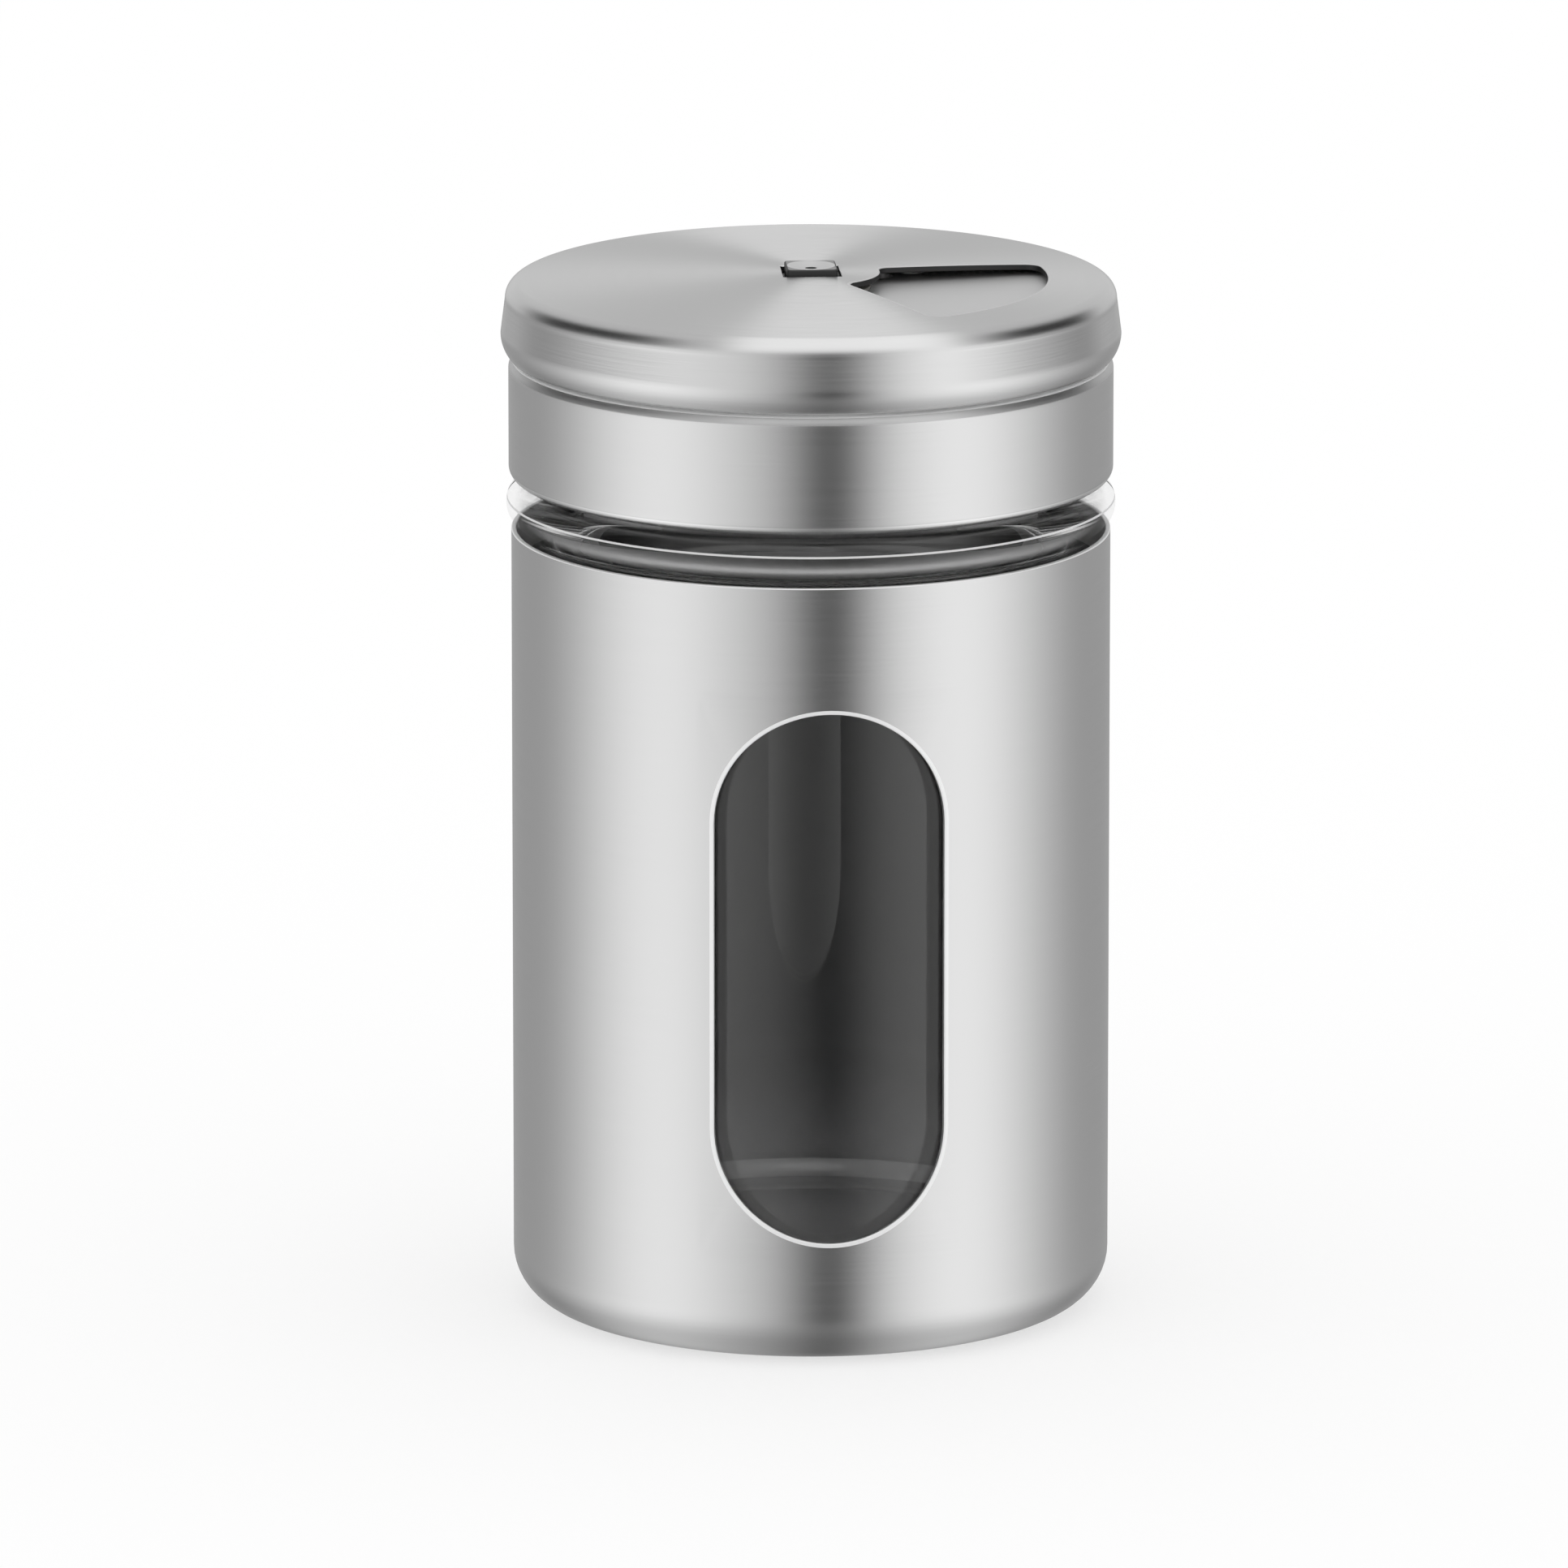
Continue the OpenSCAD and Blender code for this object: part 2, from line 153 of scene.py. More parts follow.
class ShakerJar(PropertyGroup):
    """Glass jar with its bead and the thread on its neck."""
    wall: length("Wall", "Thickness of the jar's side", 1.8)
    gap: length("Gap", "Clearance between the jar and the sleeve", 0.2)
    heel: length("Heel", "Radius of the outer bottom corner", 3.9)
    floor: length("Floor", "Thickness of the floor at its middle", 3.2)
    floor_corner: length("Floor corner", "Radius of the inner bottom corner", 2.2)
    punt: length("Punt", "Rise of the underside at its middle", 0.6)
    bead: length("Bead", "Height of the round bead above the sleeve", 3.5)
    bead_rest: length("Bead rest", "Gap between the sleeve's edge and the bead", 0.3)
    neck: length("Neck", "Outer radius of the neck", 20.335)
    neck_wall: length("Neck wall", "Wall of the neck", 2.5)
    neck_foot: length("Neck foot", "Rounding where the neck leaves the bead", 0.8)
    mouth: length("Mouth", "Rounding of the mouth", 0.6)
    throat: length("Throat", "Rounding where the bore opens into the jar", 1.2)
    thread: length("Thread", "Height of the thread's ridge", 0.9)
    thread_half: length("Thread half width", "Half the width of the ridge at its foot", 0.85)
    thread_start: length("Thread start", "Height at which the ridge starts", 69.9)
    # The band round the bead is frosted white glass: a painted highlight
    seam: length("Seam", "Width of the mould seam round the bead", 0.28)
    highlight_rise: length("Seam rise", "Height of the seam above the bead's middle", 0.45)


class ShakerRing(PropertyGroup):
    """Screw ring with the sifter top, and the insert and gasket inside it."""
    wall: length("Sheet", "Sheet thickness of the ring", 0.4)
    edge_corner: length("Lower corner", "Outer radius of the turned-in bottom edge", 0.9)
    turn_in: length("Turn-in", "How far the bottom edge is turned in", 1.5)
    skirt: length("Skirt", "Height of the skirt, up to its shoulder", 9.5)
    shoulder: length("Shoulder", "Radius of the rounded shoulder", 0.85)
    upper: length("Upper radius", "Radius of the part inside the cap", 22.935)
    # The band on the shoulder under the cap's edge is painted near-white: painted light in the gap's shade
    painted_light_band: length("Painted light band", "Width of the matt band on the shoulder, under the cap's edge", 0.48)
    sifter_corner: length("Sifter corner", "Radius of the sifter top's outer edge", 0.8)
    stud_hole: length("Stud hole", "Radius of the hole that the stud turns in", 1.98)
    fine: length("Fine hole", "Diameter of the fine holes", 2.0)
    coarse: length("Coarse hole", "Diameter of the coarse holes", 4.0)
    pour_inner: length("Pour inside", "Inner radius of the pour opening", 6.4)
    pour_outer: length("Pour outside", "Outer radius of the pour opening", 17.535)
    pour_span: angle("Pour span", "Angle that the pour opening spans", 66.41)
    edge: length("Edge", "Rounding of the cut edges", 0.07)
    insert_fit: length("Insert fit", "Clearance between the insert and the steel", 0.1)
    insert_bore: length("Insert bore", "Inner radius of the insert without its thread", 21.535)
    flange: length("Flange", "Inner radius of the flange and the gasket", 18.235)
    flange_height: length("Flange height", "Thickness of the insert's flange", 0.9)
    thread: length("Thread", "Height of the insert's thread", 0.85)
    thread_half: length("Thread half width", "Half the width of the ridge at its foot", 0.85)
    thread_play: length("Thread play", "Gap between the two threads' flanks", 0.25)
    pitch: length("Pitch", "Rise of the thread in one turn", 4.2)
    thread_turns: share("Turns", "Turns of each thread", 1.25, 3.0)


class ShakerCap(PropertyGroup):
    """Turning cap with the fan opening, and its stud."""
    wall: length("Sheet", "Sheet thickness of the cap", 0.5)
    taper: length("Taper", "How much narrower the cap is at its top", 0.35)
    fold: length("Fold", "Radius between the top and the side", 1.3)
    curl: length("Curl", "Radius of the curl at the lower edge", 2.6)
    curl_turn: angle("Curl turn", "Angle that the curl turns in", 45.0)
    lip: length("Lip", "Height of the band along the lower edge with a light inside", 1.2)
    dome: length("Dome", "Rise of the top from its edge to its middle", 0.74)
    hub: length("Hub", "Radius of the hub inside the fan opening", 5.4)
    fan_reach: length("Fan reach", "Outer radius of the fan opening", 18.535)
    fan_span: angle("Fan span", "Angle that the fan opening spans", 76.0)
    fan_turn: angle("Fan turn", "Direction of the fan opening's middle", -25.0)
    fan_corner: length("Fan corner", "Radius of the fan opening's corners", 1.0)
    edge: length("Edge", "Rounding of the cut edges", 0.12)
    tenon: length("Tenon", "Width of the stud's square end", 4.0)
    tenon_gap: length("Tenon gap", "Gap round the square end", 0.25)
    tenon_edge: length("Tenon edge", "Rounding of the square end's edges", 0.12)
    dish: length("Dish", "Radius of the dish in the square end", 1.6)
    dish_depth: length("Dish depth", "Depth of that dish", 0.22)
    dot: length("Dot", "Radius of the punch mark in the dish", 0.45)
    dot_depth: length("Dot depth", "Depth of the punch mark below the dish", 0.3)
    collar: length("Collar", "Radius of the collar under the cap", 3.68)
    shank: length("Shank", "Radius of the stud's shank", 1.9)
    clinch: length("Clinch", "Height of the clinched end", 0.55)


class ShakerFinish(PropertyGroup):
    """Colours and gloss of the finishes."""
    sleeve_steel: colour("Sleeve steel", "Colour of the sleeve's steel", (0.70, 0.70, 0.70))
    lid_steel: colour("Lid steel", "Colour of the cap's and the ring's steel", (0.70, 0.70, 0.70))
    small_steel: colour("Stud steel", "Colour of the stud's and the washers' steel", (0.62, 0.62, 0.62))
    plate_steel: colour("Plate steel", "Colour of the satin sifter plate", (0.58, 0.58, 0.58))
    dull_steel: colour("Dull steel", "Colour of the sleeve's inside", (0.38, 0.38, 0.38))
    # Near-black steel that stands for shade: painted shade on cut walls, inside the cap and on the stud
    painted_shade_steel: colour("Shaded steel", "Colour of cut walls and the lid's inside", (0.06, 0.06, 0.06))
    # White steel on the ring's lower fold: a painted highlight
    fold_highlight_steel: colour("Fold highlight", "Colour of the ring's polished lower fold", (1.0, 1.0, 1.0))
    # Near-white satin steel: painted highlight on rims and rounded edges, painted light on cut walls and
    # bands in shade
    pale_edge_painted_light: colour("Painted edge light", "Colour of the steel at the rubbed edges", (0.90, 0.90, 0.90))
    roughness: share("Roughness", "Roughness of the brushed sleeve and ring", 0.21)
    cap_roughness: share("Cap roughness", "Roughness of the brushed cap", 0.22)
    brushing: share("Brushing", "How much the brushing stretches a highlight", 0.95)
    plastic: colour("Plastic", "Colour of the insert", (0.80, 0.80, 0.77))
    silicone: colour("Silicone", "Colour of the gasket", (0.74, 0.74, 0.72))
    # Dark grey that stands for the shade under the hub where the washer shows: painted shade
    nylon: colour("Nylon", "Colour of the nylon washer", (0.22, 0.215, 0.20))


class ShakerStudio(PropertyGroup):
    """Camera, floor and studio light."""
    distance: length("Distance", "Camera's distance from the shaker", 1400.0)
    azimuth: angle("Azimuth", "Camera's turn round the shaker", -3.7)
    elevation: angle("Elevation", "Camera's height above the horizon", 12.9)
    picture_scale: share("Scale", "Pixels that one millimetre takes at the axis", 15.65, 50.0)
    picture_size: IntProperty(name="Picture", description="Width of the picture in pixels", default=1932)
    axis_x: share("Axis", "Pixel column of the shaker's axis", 999.0, 4000.0)
    middle_y: share("Middle", "Pixel row of the middle of the shaker", 964.0, 4000.0)
    floor_white: share("Floor", "Whiteness of the floor", 0.94)
    shadow: share("Shadow", "How much of the floor's own shading the camera sees", 0.45)
    side_light: share("Side light", "Light of the plain sides of the studio", 0.36, 4.0)
    box_light: share("Box light", "Light that the two boxes add", 0.80, 4.0)
    flag: share("Flag", "How dark the flag between the boxes is", 0.86)
    wall_light: share("Wall light", "Light of the wall behind the shaker", 0.66, 4.0)
    wedge_light: share("Wedge light", "Light of the boxes overhead", 1.15, 4.0)
    dark_light: share("Dark light", "Light between the boxes overhead", 0.0, 4.0)


PROPERTY_GROUPS = {
    "shaker_sleeve": ShakerSleeve,
    "shaker_jar": ShakerJar,
    "shaker_ring": ShakerRing,
    "shaker_cap": ShakerCap,
    "shaker_finish": ShakerFinish,
    "shaker_studio": ShakerStudio,
}


# Paths and surfaces


def unit(t):
    """Points (cos t, sin t)."""
    return np.stack((np.cos(t), np.sin(t)), axis=-1)


def arc(x, z, radius, start, end, steps):
    """Points x + radius cos t, z + radius sin t, with t from start to end in degrees."""
    return (x, z) + radius * unit(np.radians(np.linspace(start, end, steps + 1)))


def joined(*parts):
    """One path from several, without points that repeat."""
    path = np.vstack([np.atleast_2d(np.asarray(p, float)) for p in parts])
    apart = np.hypot(*np.diff(path, axis=0).T) > SAME_POINT
    return path[np.concatenate(([True], apart))]


def along(path):
    """Length along a path at each of its points."""
    return np.concatenate(([0.0], np.cumsum(np.hypot(*np.diff(path, axis=0).T))))


def filled(path, step, support=0.3 * MM):
    """The path with more points: none further apart than step, and one near both ends of a long stretch."""
    s = along(path)
    spans = np.diff(s)
    extra = [np.linspace(a, b, max(2, math.ceil((b - a) / step) + 1)) for a, b in zip(s[:-1], s[1:])]
    long_ones = spans > 4 * support
    near = np.concatenate((s[:-1][long_ones] + support, s[1:][long_ones] - support))
    places = np.unique(np.round(np.concatenate(extra + [near]), 8))
    return np.column_stack((np.interp(places, s, path[:, 0]), np.interp(places, s, path[:, 1])))


def rounded(corners, radius, steps=4):
    """Closed path through the corners, each rounded by an arc tangent to both of its sides.

    At a corner of turn t the arc starts and ends radius tan(t / 2) from it, on the sides. The radius is
    less where that would be over this share of the shorter side.
    """
    most = 0.45
    corners = np.asarray(corners, float)
    before = corners - np.roll(corners, 1, axis=0)
    after = np.roll(corners, -1, axis=0) - corners
    size_in, size_out = np.hypot(*before.T), np.hypot(*after.T)
    ahead, leave = before / size_in[:, None], after / size_out[:, None]
    turn = np.arctan2(ahead[:, 0] * leave[:, 1] - ahead[:, 1] * leave[:, 0], (ahead * leave).sum(axis=1))
    tangent = np.tan(abs(turn) / 2)
    radius = np.minimum(radius, most * np.minimum(size_in, size_out) / np.maximum(tangent, 1e-6))
    back = radius * tangent
    start = corners - ahead * back[:, None]
    inward = np.column_stack((-ahead[:, 1], ahead[:, 0])) * np.sign(turn)[:, None]
    centre = start + inward * radius[:, None]
    fraction = np.linspace(0, 1, steps + 1)[None, :]
    sweep = np.arctan2(-inward[:, 1], -inward[:, 0])[:, None] + turn[:, None] * fraction
    points = centre[:, None, :] + radius[:, None, None] * unit(sweep)
    return points.reshape(-1, 2)


def grid_faces(rows, columns, index=None, keep=None, closed=False):
    """Four-sided faces of a grid that goes once round.

    They face away from the side on the left of the rows' way.
    """
    index = np.arange(rows * columns).reshape(rows, columns) if index is None else index
    upper = np.roll(index, -1, axis=0) if closed else index[1:]
    lower = index if closed else index[:-1]
    cells = np.stack((lower, np.roll(lower, -1, axis=1), np.roll(upper, -1, axis=1), upper), axis=-1)
    return cells[keep] if keep is not None else cells.reshape(-1, 4)


def turned(radius, height, columns):
    """Points (R cos a, R sin a, Z), with a once round in even steps and a row for each R and Z."""
    a = np.arange(columns) * TURN / columns
    radius = np.broadcast_to(np.asarray(radius).reshape(len(radius), -1), (len(radius), columns))
    height = np.broadcast_to(np.asarray(height).reshape(len(height), -1), radius.shape)
    return np.stack((radius * np.cos(a), radius * np.sin(a), height), axis=-1)


def solid_of_revolution(radius, height, columns):
    """Closed surface from a closed path, or from one that starts and ends on the axis.

    A point is (R cos a, R sin a, Z). A row on the axis becomes one point with a fan of triangles.
    """
    points = turned(radius, height, columns)
    if np.max(radius[0]) >= ON_AXIS:
        return points.reshape(-1, 3), grid_faces(*points.shape[:2], closed=True).tolist()
    inner = points[1:-1]
    rows = len(inner)
    faces = grid_faces(rows, columns).tolist()
    first, last = rows * columns, rows * columns + 1
    ring = np.arange(columns)
    after = np.roll(ring, -1)
    upper = ring + (rows - 1) * columns
    faces += np.column_stack((np.full(columns, first), after, ring)).tolist()
    faces += np.column_stack((upper, np.roll(upper, -1), np.full(columns, last))).tolist()
    return np.vstack((inner.reshape(-1, 3), points[0, :1], points[-1, :1])), faces


def sheet_with_cuts(path, rows, columns, cuts):
    """Sheet of revolution with cut-outs.

    At length s along the path and angle a, a point is (R(s) cos a, R(s) sin a, Z(s)). rows holds s for
    each row, or for each row and column. A cut is (outline, room, near, zone): its outline in the
    (s, a) plane, the room round it and the distance of a first ring from it, as lengths, and the zone
    of the faces along it. The cells there are taken away as a block. The first ring is the outline moved
    out by that distance, square to itself, and more rings at (1 - t) first + t edge join it to the
    block's edge, with t falling as 1 - (lap / laps) ^ crowding. A cut that is tight in its block, with
    less than near / tight between them somewhere, has no ring between. Returns points, faces and the
    zone of each face.
    """
    many_laps, tight, crowding = 3, 0.3, 0.7
    s = along(path)
    rows = np.broadcast_to(np.asarray(rows).reshape(len(rows), -1), (len(rows), columns))
    step = TURN / columns
    plane = [np.column_stack((rows.ravel(), np.tile(np.arange(columns) * step, len(rows))))]
    keep = np.ones((len(rows) - 1, columns), bool)
    index = np.arange(rows.size).reshape(rows.shape)
    faces, zones, used = [], [], rows.size

    def radius_at(places):
        """Radius of the sheet at these lengths along the path."""
        return np.interp(places, s, path[:, 0])

    for outline, room, near, zone in cuts:
        low, high = outline.min(axis=0), outline.max(axis=0)
        middle = (low + high) / 2
        radius = radius_at([low[0], high[0]]).min()
        i0 = int(np.searchsorted(rows[:, 0], low[0] - room, side="right")) - 1
        i1 = int(np.searchsorted(rows[:, 0], high[0] + room, side="left"))
        j0 = math.floor((low[1] - room / radius) / step)
        j1 = math.ceil((high[1] + room / radius) / step)
        block = np.ix_(range(i0, i1), np.arange(j0, j1) % columns)
        if not keep[block].all():
            raise ValueError("two cut-outs of a sheet are too close for its grid")
        keep[block] = False
        i = np.concatenate((np.full(j1 - j0, i0), np.arange(i0, i1),
                            np.full(j1 - j0, i1), np.arange(i1, i0, -1)))
        j = np.concatenate((np.arange(j0, j1), np.full(i1 - i0, j1),
                            np.arange(j1, j0, -1), np.full(i1 - i0, j0)))
        edge = np.column_stack((rows[i, 0], j * step))

        def laid_out(places):
            """Places in the (s, a) plane as lengths from the cut's middle."""
            return (places - middle) * np.column_stack((np.ones(len(places)), radius_at(places[:, 0])))

        way, wall = laid_out(edge), laid_out(outline)
        bearing, target = np.arctan2(wall[:, 0], wall[:, 1]), np.arctan2(way[:, 0], way[:, 1])
        rim = np.column_stack([np.interp(target, bearing, outline[:, k], period=TURN) for k in (0, 1)])
        wall = laid_out(rim)
        tangent = np.roll(wall, -1, axis=0) - np.roll(wall, 1, axis=0)
        normal = np.column_stack((-tangent[:, 1], tangent[:, 0])) / np.hypot(*tangent.T)[:, None]
        first = wall + near * normal * np.sign((normal * wall).sum(axis=1))[:, None]
        first_s = first[:, 0] + middle[0]
        first = np.column_stack((first_s, middle[1] + first[:, 1] / radius_at(first_s)))
        previous = index[i, j % columns]
        laps = 1 if near > tight * np.hypot(*(way - wall).T).min() else many_laps
        for lap in range(1, laps + 2):
            t = 1 - (lap / laps) ** crowding
            plane.append(rim if lap > laps else t * edge + (1 - t) * first)
            ring = used + np.arange(len(edge))
            used += len(edge)
            faces.append(np.stack((previous, np.roll(previous, -1), np.roll(ring, -1), ring), axis=-1))
            zones.append(np.full(len(edge), zone if lap > laps else 0))
            previous = ring
    faces.append(grid_faces(*rows.shape, keep=keep))
    zones.append(np.zeros(keep.sum(), int))
    faces, zones = np.vstack(faces), np.concatenate(zones)
    plane = np.vstack(plane)
    points = np.column_stack((radius_at(plane[:, 0])[:, None] * unit(plane[:, 1]),
                              np.interp(plane[:, 0], s, path[:, 1])))
    kept, faces = np.unique(faces, return_inverse=True)
    return points[kept], faces.reshape(-1, 4), zones


def fan_outline(inner, outer, span, middle, corner, steps=24):
    """Radius and angle along a fan-shaped cut with rounded corners.

    Each corner circle touches the inner or outer arc and a straight side, which runs through the axis:
    its centre lies at radius inner + corner or outer - corner, asin(corner / radius) inside the side.
    """
    sides = []
    for radius, sign in ((inner + corner, 1), (outer - corner, -1)):
        inset = math.asin(corner / radius)
        touch = math.cos(inset) * radius
        for side in (-1, 1):
            bearing = middle + side * (span / 2 - inset)
            to_arc = bearing if sign < 0 else bearing + math.pi
            to_side = middle + side * span / 2 + side * math.pi / 2
            sweep = (to_side - to_arc + math.pi) % TURN - math.pi
            t = to_arc + sweep * np.linspace(0, 1, steps)
            sides.append((radius * unit(bearing) + corner * unit(t), touch))
    t = np.linspace(-1, 1, 5 * steps)
    parts = [points for points, _ in sides]
    for radius, corner_radius in ((inner, inner + corner), (outer, outer - corner)):
        bearing = middle + t * (span / 2 - math.asin(corner / corner_radius))
        parts.append(radius * unit(bearing))
    for side in (-1, 1):
        run = np.linspace(sides[0][1], sides[2][1], 6 * steps)[:, None]
        parts.append(run * unit(middle + side * span / 2))
    return polar(np.vstack(parts), middle)


def polar(points, middle):
    """Radius and angle of plane points, with the angle counted on from the middle one."""
    bearing = np.arctan2(points[:, 1], points[:, 0])
    return np.column_stack((np.hypot(*points.T), middle + (bearing - middle + math.pi) % TURN - math.pi))


def round_outline(radius, bearing, hole, steps=96):
    """Radius and angle along a round hole."""
    return polar(radius * unit(bearing) + hole * unit(np.arange(steps) * TURN / steps), bearing)


def hole_places(inner, outer, span, middle, hole, counts):
    """Radius and angle of each hole: rows of counts holes on arcs that fill a fan-shaped field."""
    for radius, count in zip(np.linspace(inner + hole, outer - hole, len(counts)), counts):
        half = span / 2 - math.asin(hole / radius)
        for bearing in np.linspace(middle - half, middle + half, count):
            yield radius, bearing


def thread_shape(angles, heights, start, pitch, turns, half_width, run_out=0.6):
    """Height from 0 to 1 of a right-handed ridge round the axis.

    Its crest line climbs as start + pitch t / (2 pi). Across it the height is a smooth step of the
    distance from the crest line over half the width, flat on top. The steeper its flanks, the wider is
    the flat. At both ends it runs out over an angle of run_out.
    """
    steep = 1.7
    shape = np.zeros(np.broadcast(angles, heights).shape)
    for lap in range(math.ceil(turns) + 1):
        t = angles + TURN * lap
        ends = np.clip(np.minimum(t, turns * TURN - t) / run_out, 0, 1)
        across = np.clip(steep * (1 - abs(heights - start - pitch * t / TURN) / half_width), 0, 1)
        shape = np.maximum(shape, (across * across * (3 - 2 * across)) * ends * ends * (3 - 2 * ends))
    return shape


# Objects


def add_object(name, data):
    """An object at the origin with this mesh or camera."""
    thing = bpy.data.objects.new(name, data)
    bpy.context.scene.collection.objects.link(thing)
    return thing


def add_piece(name, node, body, points, faces, materials, zones=None):
    """A mesh object at the origin that rides on a body, stands for its solid and has its finishes."""
    mesh = bpy.data.meshes.new(name)
    mesh.from_pydata(points.tolist(), [], np.asarray(faces).tolist() if zones is not None else faces)
    mesh.polygons.foreach_set("use_smooth", np.ones(len(mesh.polygons), bool))
    for material in materials:
        mesh.materials.append(material_for(material))
    if zones is not None:
        mesh.polygons.foreach_set("material_index", zones)
    mesh.update()
    piece = add_object(name, mesh)
    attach(piece, body)
    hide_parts(node)
    return piece


def paint(piece, number, where):
    """Gives the faces whose middles' radius and height meet a condition the finish of that number."""
    faces = piece.data.polygons
    middles, numbers = np.empty(3 * len(faces)), np.empty(len(faces), int)
    faces.foreach_get("center", middles)
    faces.foreach_get("material_index", numbers)
    x, y, z = middles.reshape(-1, 3).T
    numbers[where(np.hypot(x, y), z)] = number
    faces.foreach_set("material_index", numbers)


def thicken(piece, wall, edge, inside=0, cut=0, painted_light_rim=True):
    """Gives a sheet its thickness, inwards, and rounds its cut edges.

    The inside and the cut's wall take the finish that comes that many places after the face's own. The
    rounded edges take the second finish where painted_light_rim is true, a painted highlight on the
    sleeve and the ring, and otherwise their neighbours'.
    """
    solid = piece.modifiers.new("sheet thickness", "SOLIDIFY")
    solid.thickness = wall
    solid.offset = -1.0
    solid.use_even_offset = True
    solid.material_offset = inside
    solid.material_offset_rim = cut
    bevel = piece.modifiers.new("rounded edges", "BEVEL")
    bevel.width = edge
    bevel.segments = 3
    bevel.material = 1 if painted_light_rim else -1
    bevel.limit_method = "ANGLE"
    bevel.angle_limit = math.radians(45)
    bevel.use_clamp_overlap = False
    bevel.harden_normals = True


def threaded(path, ground, height, start, half_width, ring):
    """Radius at each row and column of a path whose stretch at the ground radius carries a thread.

    The thread's shape times height is added there: outwards, or inwards where the height is negative.
    """
    angles = np.arange(THREAD_COLUMNS) * TURN / THREAD_COLUMNS
    ridge = thread_shape(angles[None, :], path[:, 1:2], start, ring.pitch, ring.thread_turns, half_width)
    return path[:, 0:1] + height * ridge * (abs(path[:, 0:1] - ground) < NEAR)


def add_ring(name, node, body, finish, hole, rounding, columns=128, dished=False):
    """A ring with rounded edges in its solid's place.

    It reaches from the hole to the solid's outside, and a dished one climbs outwards by half its height.
    """
    outer, low, high = reach(node), foot(node), top(node)
    rise = (high - low) / 2 if dished else 0.0
    path = rounded([[hole, low], [outer, low + rise], [outer, high], [hole, high - rise]], rounding)
    points, faces = solid_of_revolution(path[:, 0], path[:, 1], columns)
    add_piece(name, node, body, points, faces, (finish,))


# Finishes


BRUSHING = "Brushing round the axis"
GRAIN = "Moulded grain"


def put(tree, kind, values=None, **settings):
    """A node with its settings, and its inputs set to a value or linked to a socket."""
    node = tree.nodes.new(kind)
    for key, value in settings.items():
        setattr(node, key, value)
    for key, value in (values or {}).items():
        if isinstance(value, bpy.types.NodeSocket):
            tree.links.new(value, node.inputs[key])
        else:
            node.inputs[key].default_value = value
    return node


def calc(tree, operation, *values, clamp=False):
    """The result of a Math node."""
    node = put(tree, "ShaderNodeMath", dict(enumerate(values)), operation=operation, use_clamp=clamp)
    return node.outputs[0]


def vector_calc(tree, operation, *values):
    """The vector result of a Vector Math node."""
    return put(tree, "ShaderNodeVectorMath", dict(enumerate(values)), operation=operation).outputs[0]


def smooth(tree, value, low, high):
    """Smooth step of a value from 0 at low to 1 at high."""
    node = put(tree, "ShaderNodeMapRange", {"Value": value, "From Min": low, "From Max": high},
               interpolation_type="SMOOTHSTEP")
    return node.outputs[0]


def place_in(tree):
    """The place on the piece, in its own coordinates."""
    return put(tree, "ShaderNodeTexCoord").outputs["Object"]


def new_group(name, inputs):
    """An empty shader group with these inputs, for a shade, a roughness and a height."""
    tree = bpy.data.node_groups.new(name, "ShaderNodeTree")
    face = tree.interface
    for key, value in inputs.items():
        face.new_socket(name=key, in_out="INPUT", socket_type="NodeSocketFloat").default_value = value
    for key in ("Shade", "Roughness", "Height"):
        face.new_socket(name=key, in_out="OUTPUT", socket_type="NodeSocketFloat")
    return tree, put(tree, "NodeGroupInput").outputs, place_in(tree)


def put_out(tree, given, noise):
    """The group's outputs from one noise: a shade about 1, a roughness about the given one and a height."""
    about = calc(tree, "SUBTRACT", noise, 0.5)
    put(tree, "NodeGroupOutput", {
        "Shade": calc(tree, "MULTIPLY_ADD", about, given["Shade"], 1.0),
        "Roughness": calc(tree, "MULTIPLY_ADD", about, given["Roughness change"], given["Roughness"]),
        "Height": noise})


def brushing_group():
    """Fine lines round the axis, as brushing leaves them.

    Noise in four dimensions is read at (cos a, sin a, height, radius), so that it changes fast up and
    across the sheet and slowly round it. Nearer to the axis than least_radius, x and y divided by that
    stand for the cosine and the sine.
    """
    least_radius = 0.5 * MM
    tree, given, place = new_group(BRUSHING, {
        "Lines per metre": 5000.0, "Length": 3.0, "Shade": 0.05,
        "Roughness": 0.3, "Roughness change": 0.06})
    split = put(tree, "ShaderNodeSeparateXYZ", {0: place}).outputs
    radius = calc(tree, "SQRT", calc(tree, "ADD", calc(tree, "MULTIPLY", split["X"], split["X"]),
                                     calc(tree, "MULTIPLY", split["Y"], split["Y"])))
    safe = calc(tree, "MAXIMUM", radius, least_radius)
    slow = calc(tree, "DIVIDE", given["Length"], safe)
    spot = put(tree, "ShaderNodeCombineXYZ", {
        "X": calc(tree, "MULTIPLY", split["X"], slow),
        "Y": calc(tree, "MULTIPLY", split["Y"], slow),
        "Z": calc(tree, "MULTIPLY", split["Z"], given["Lines per metre"])}).outputs[0]
    noise = put(tree, "ShaderNodeTexNoise", {
        "Vector": spot, "W": calc(tree, "MULTIPLY", radius, given["Lines per metre"]),
        "Scale": 1.0, "Detail": 3.0, "Roughness": 0.6}, noise_dimensions="4D").outputs[0]
    put_out(tree, given, noise)
    return tree


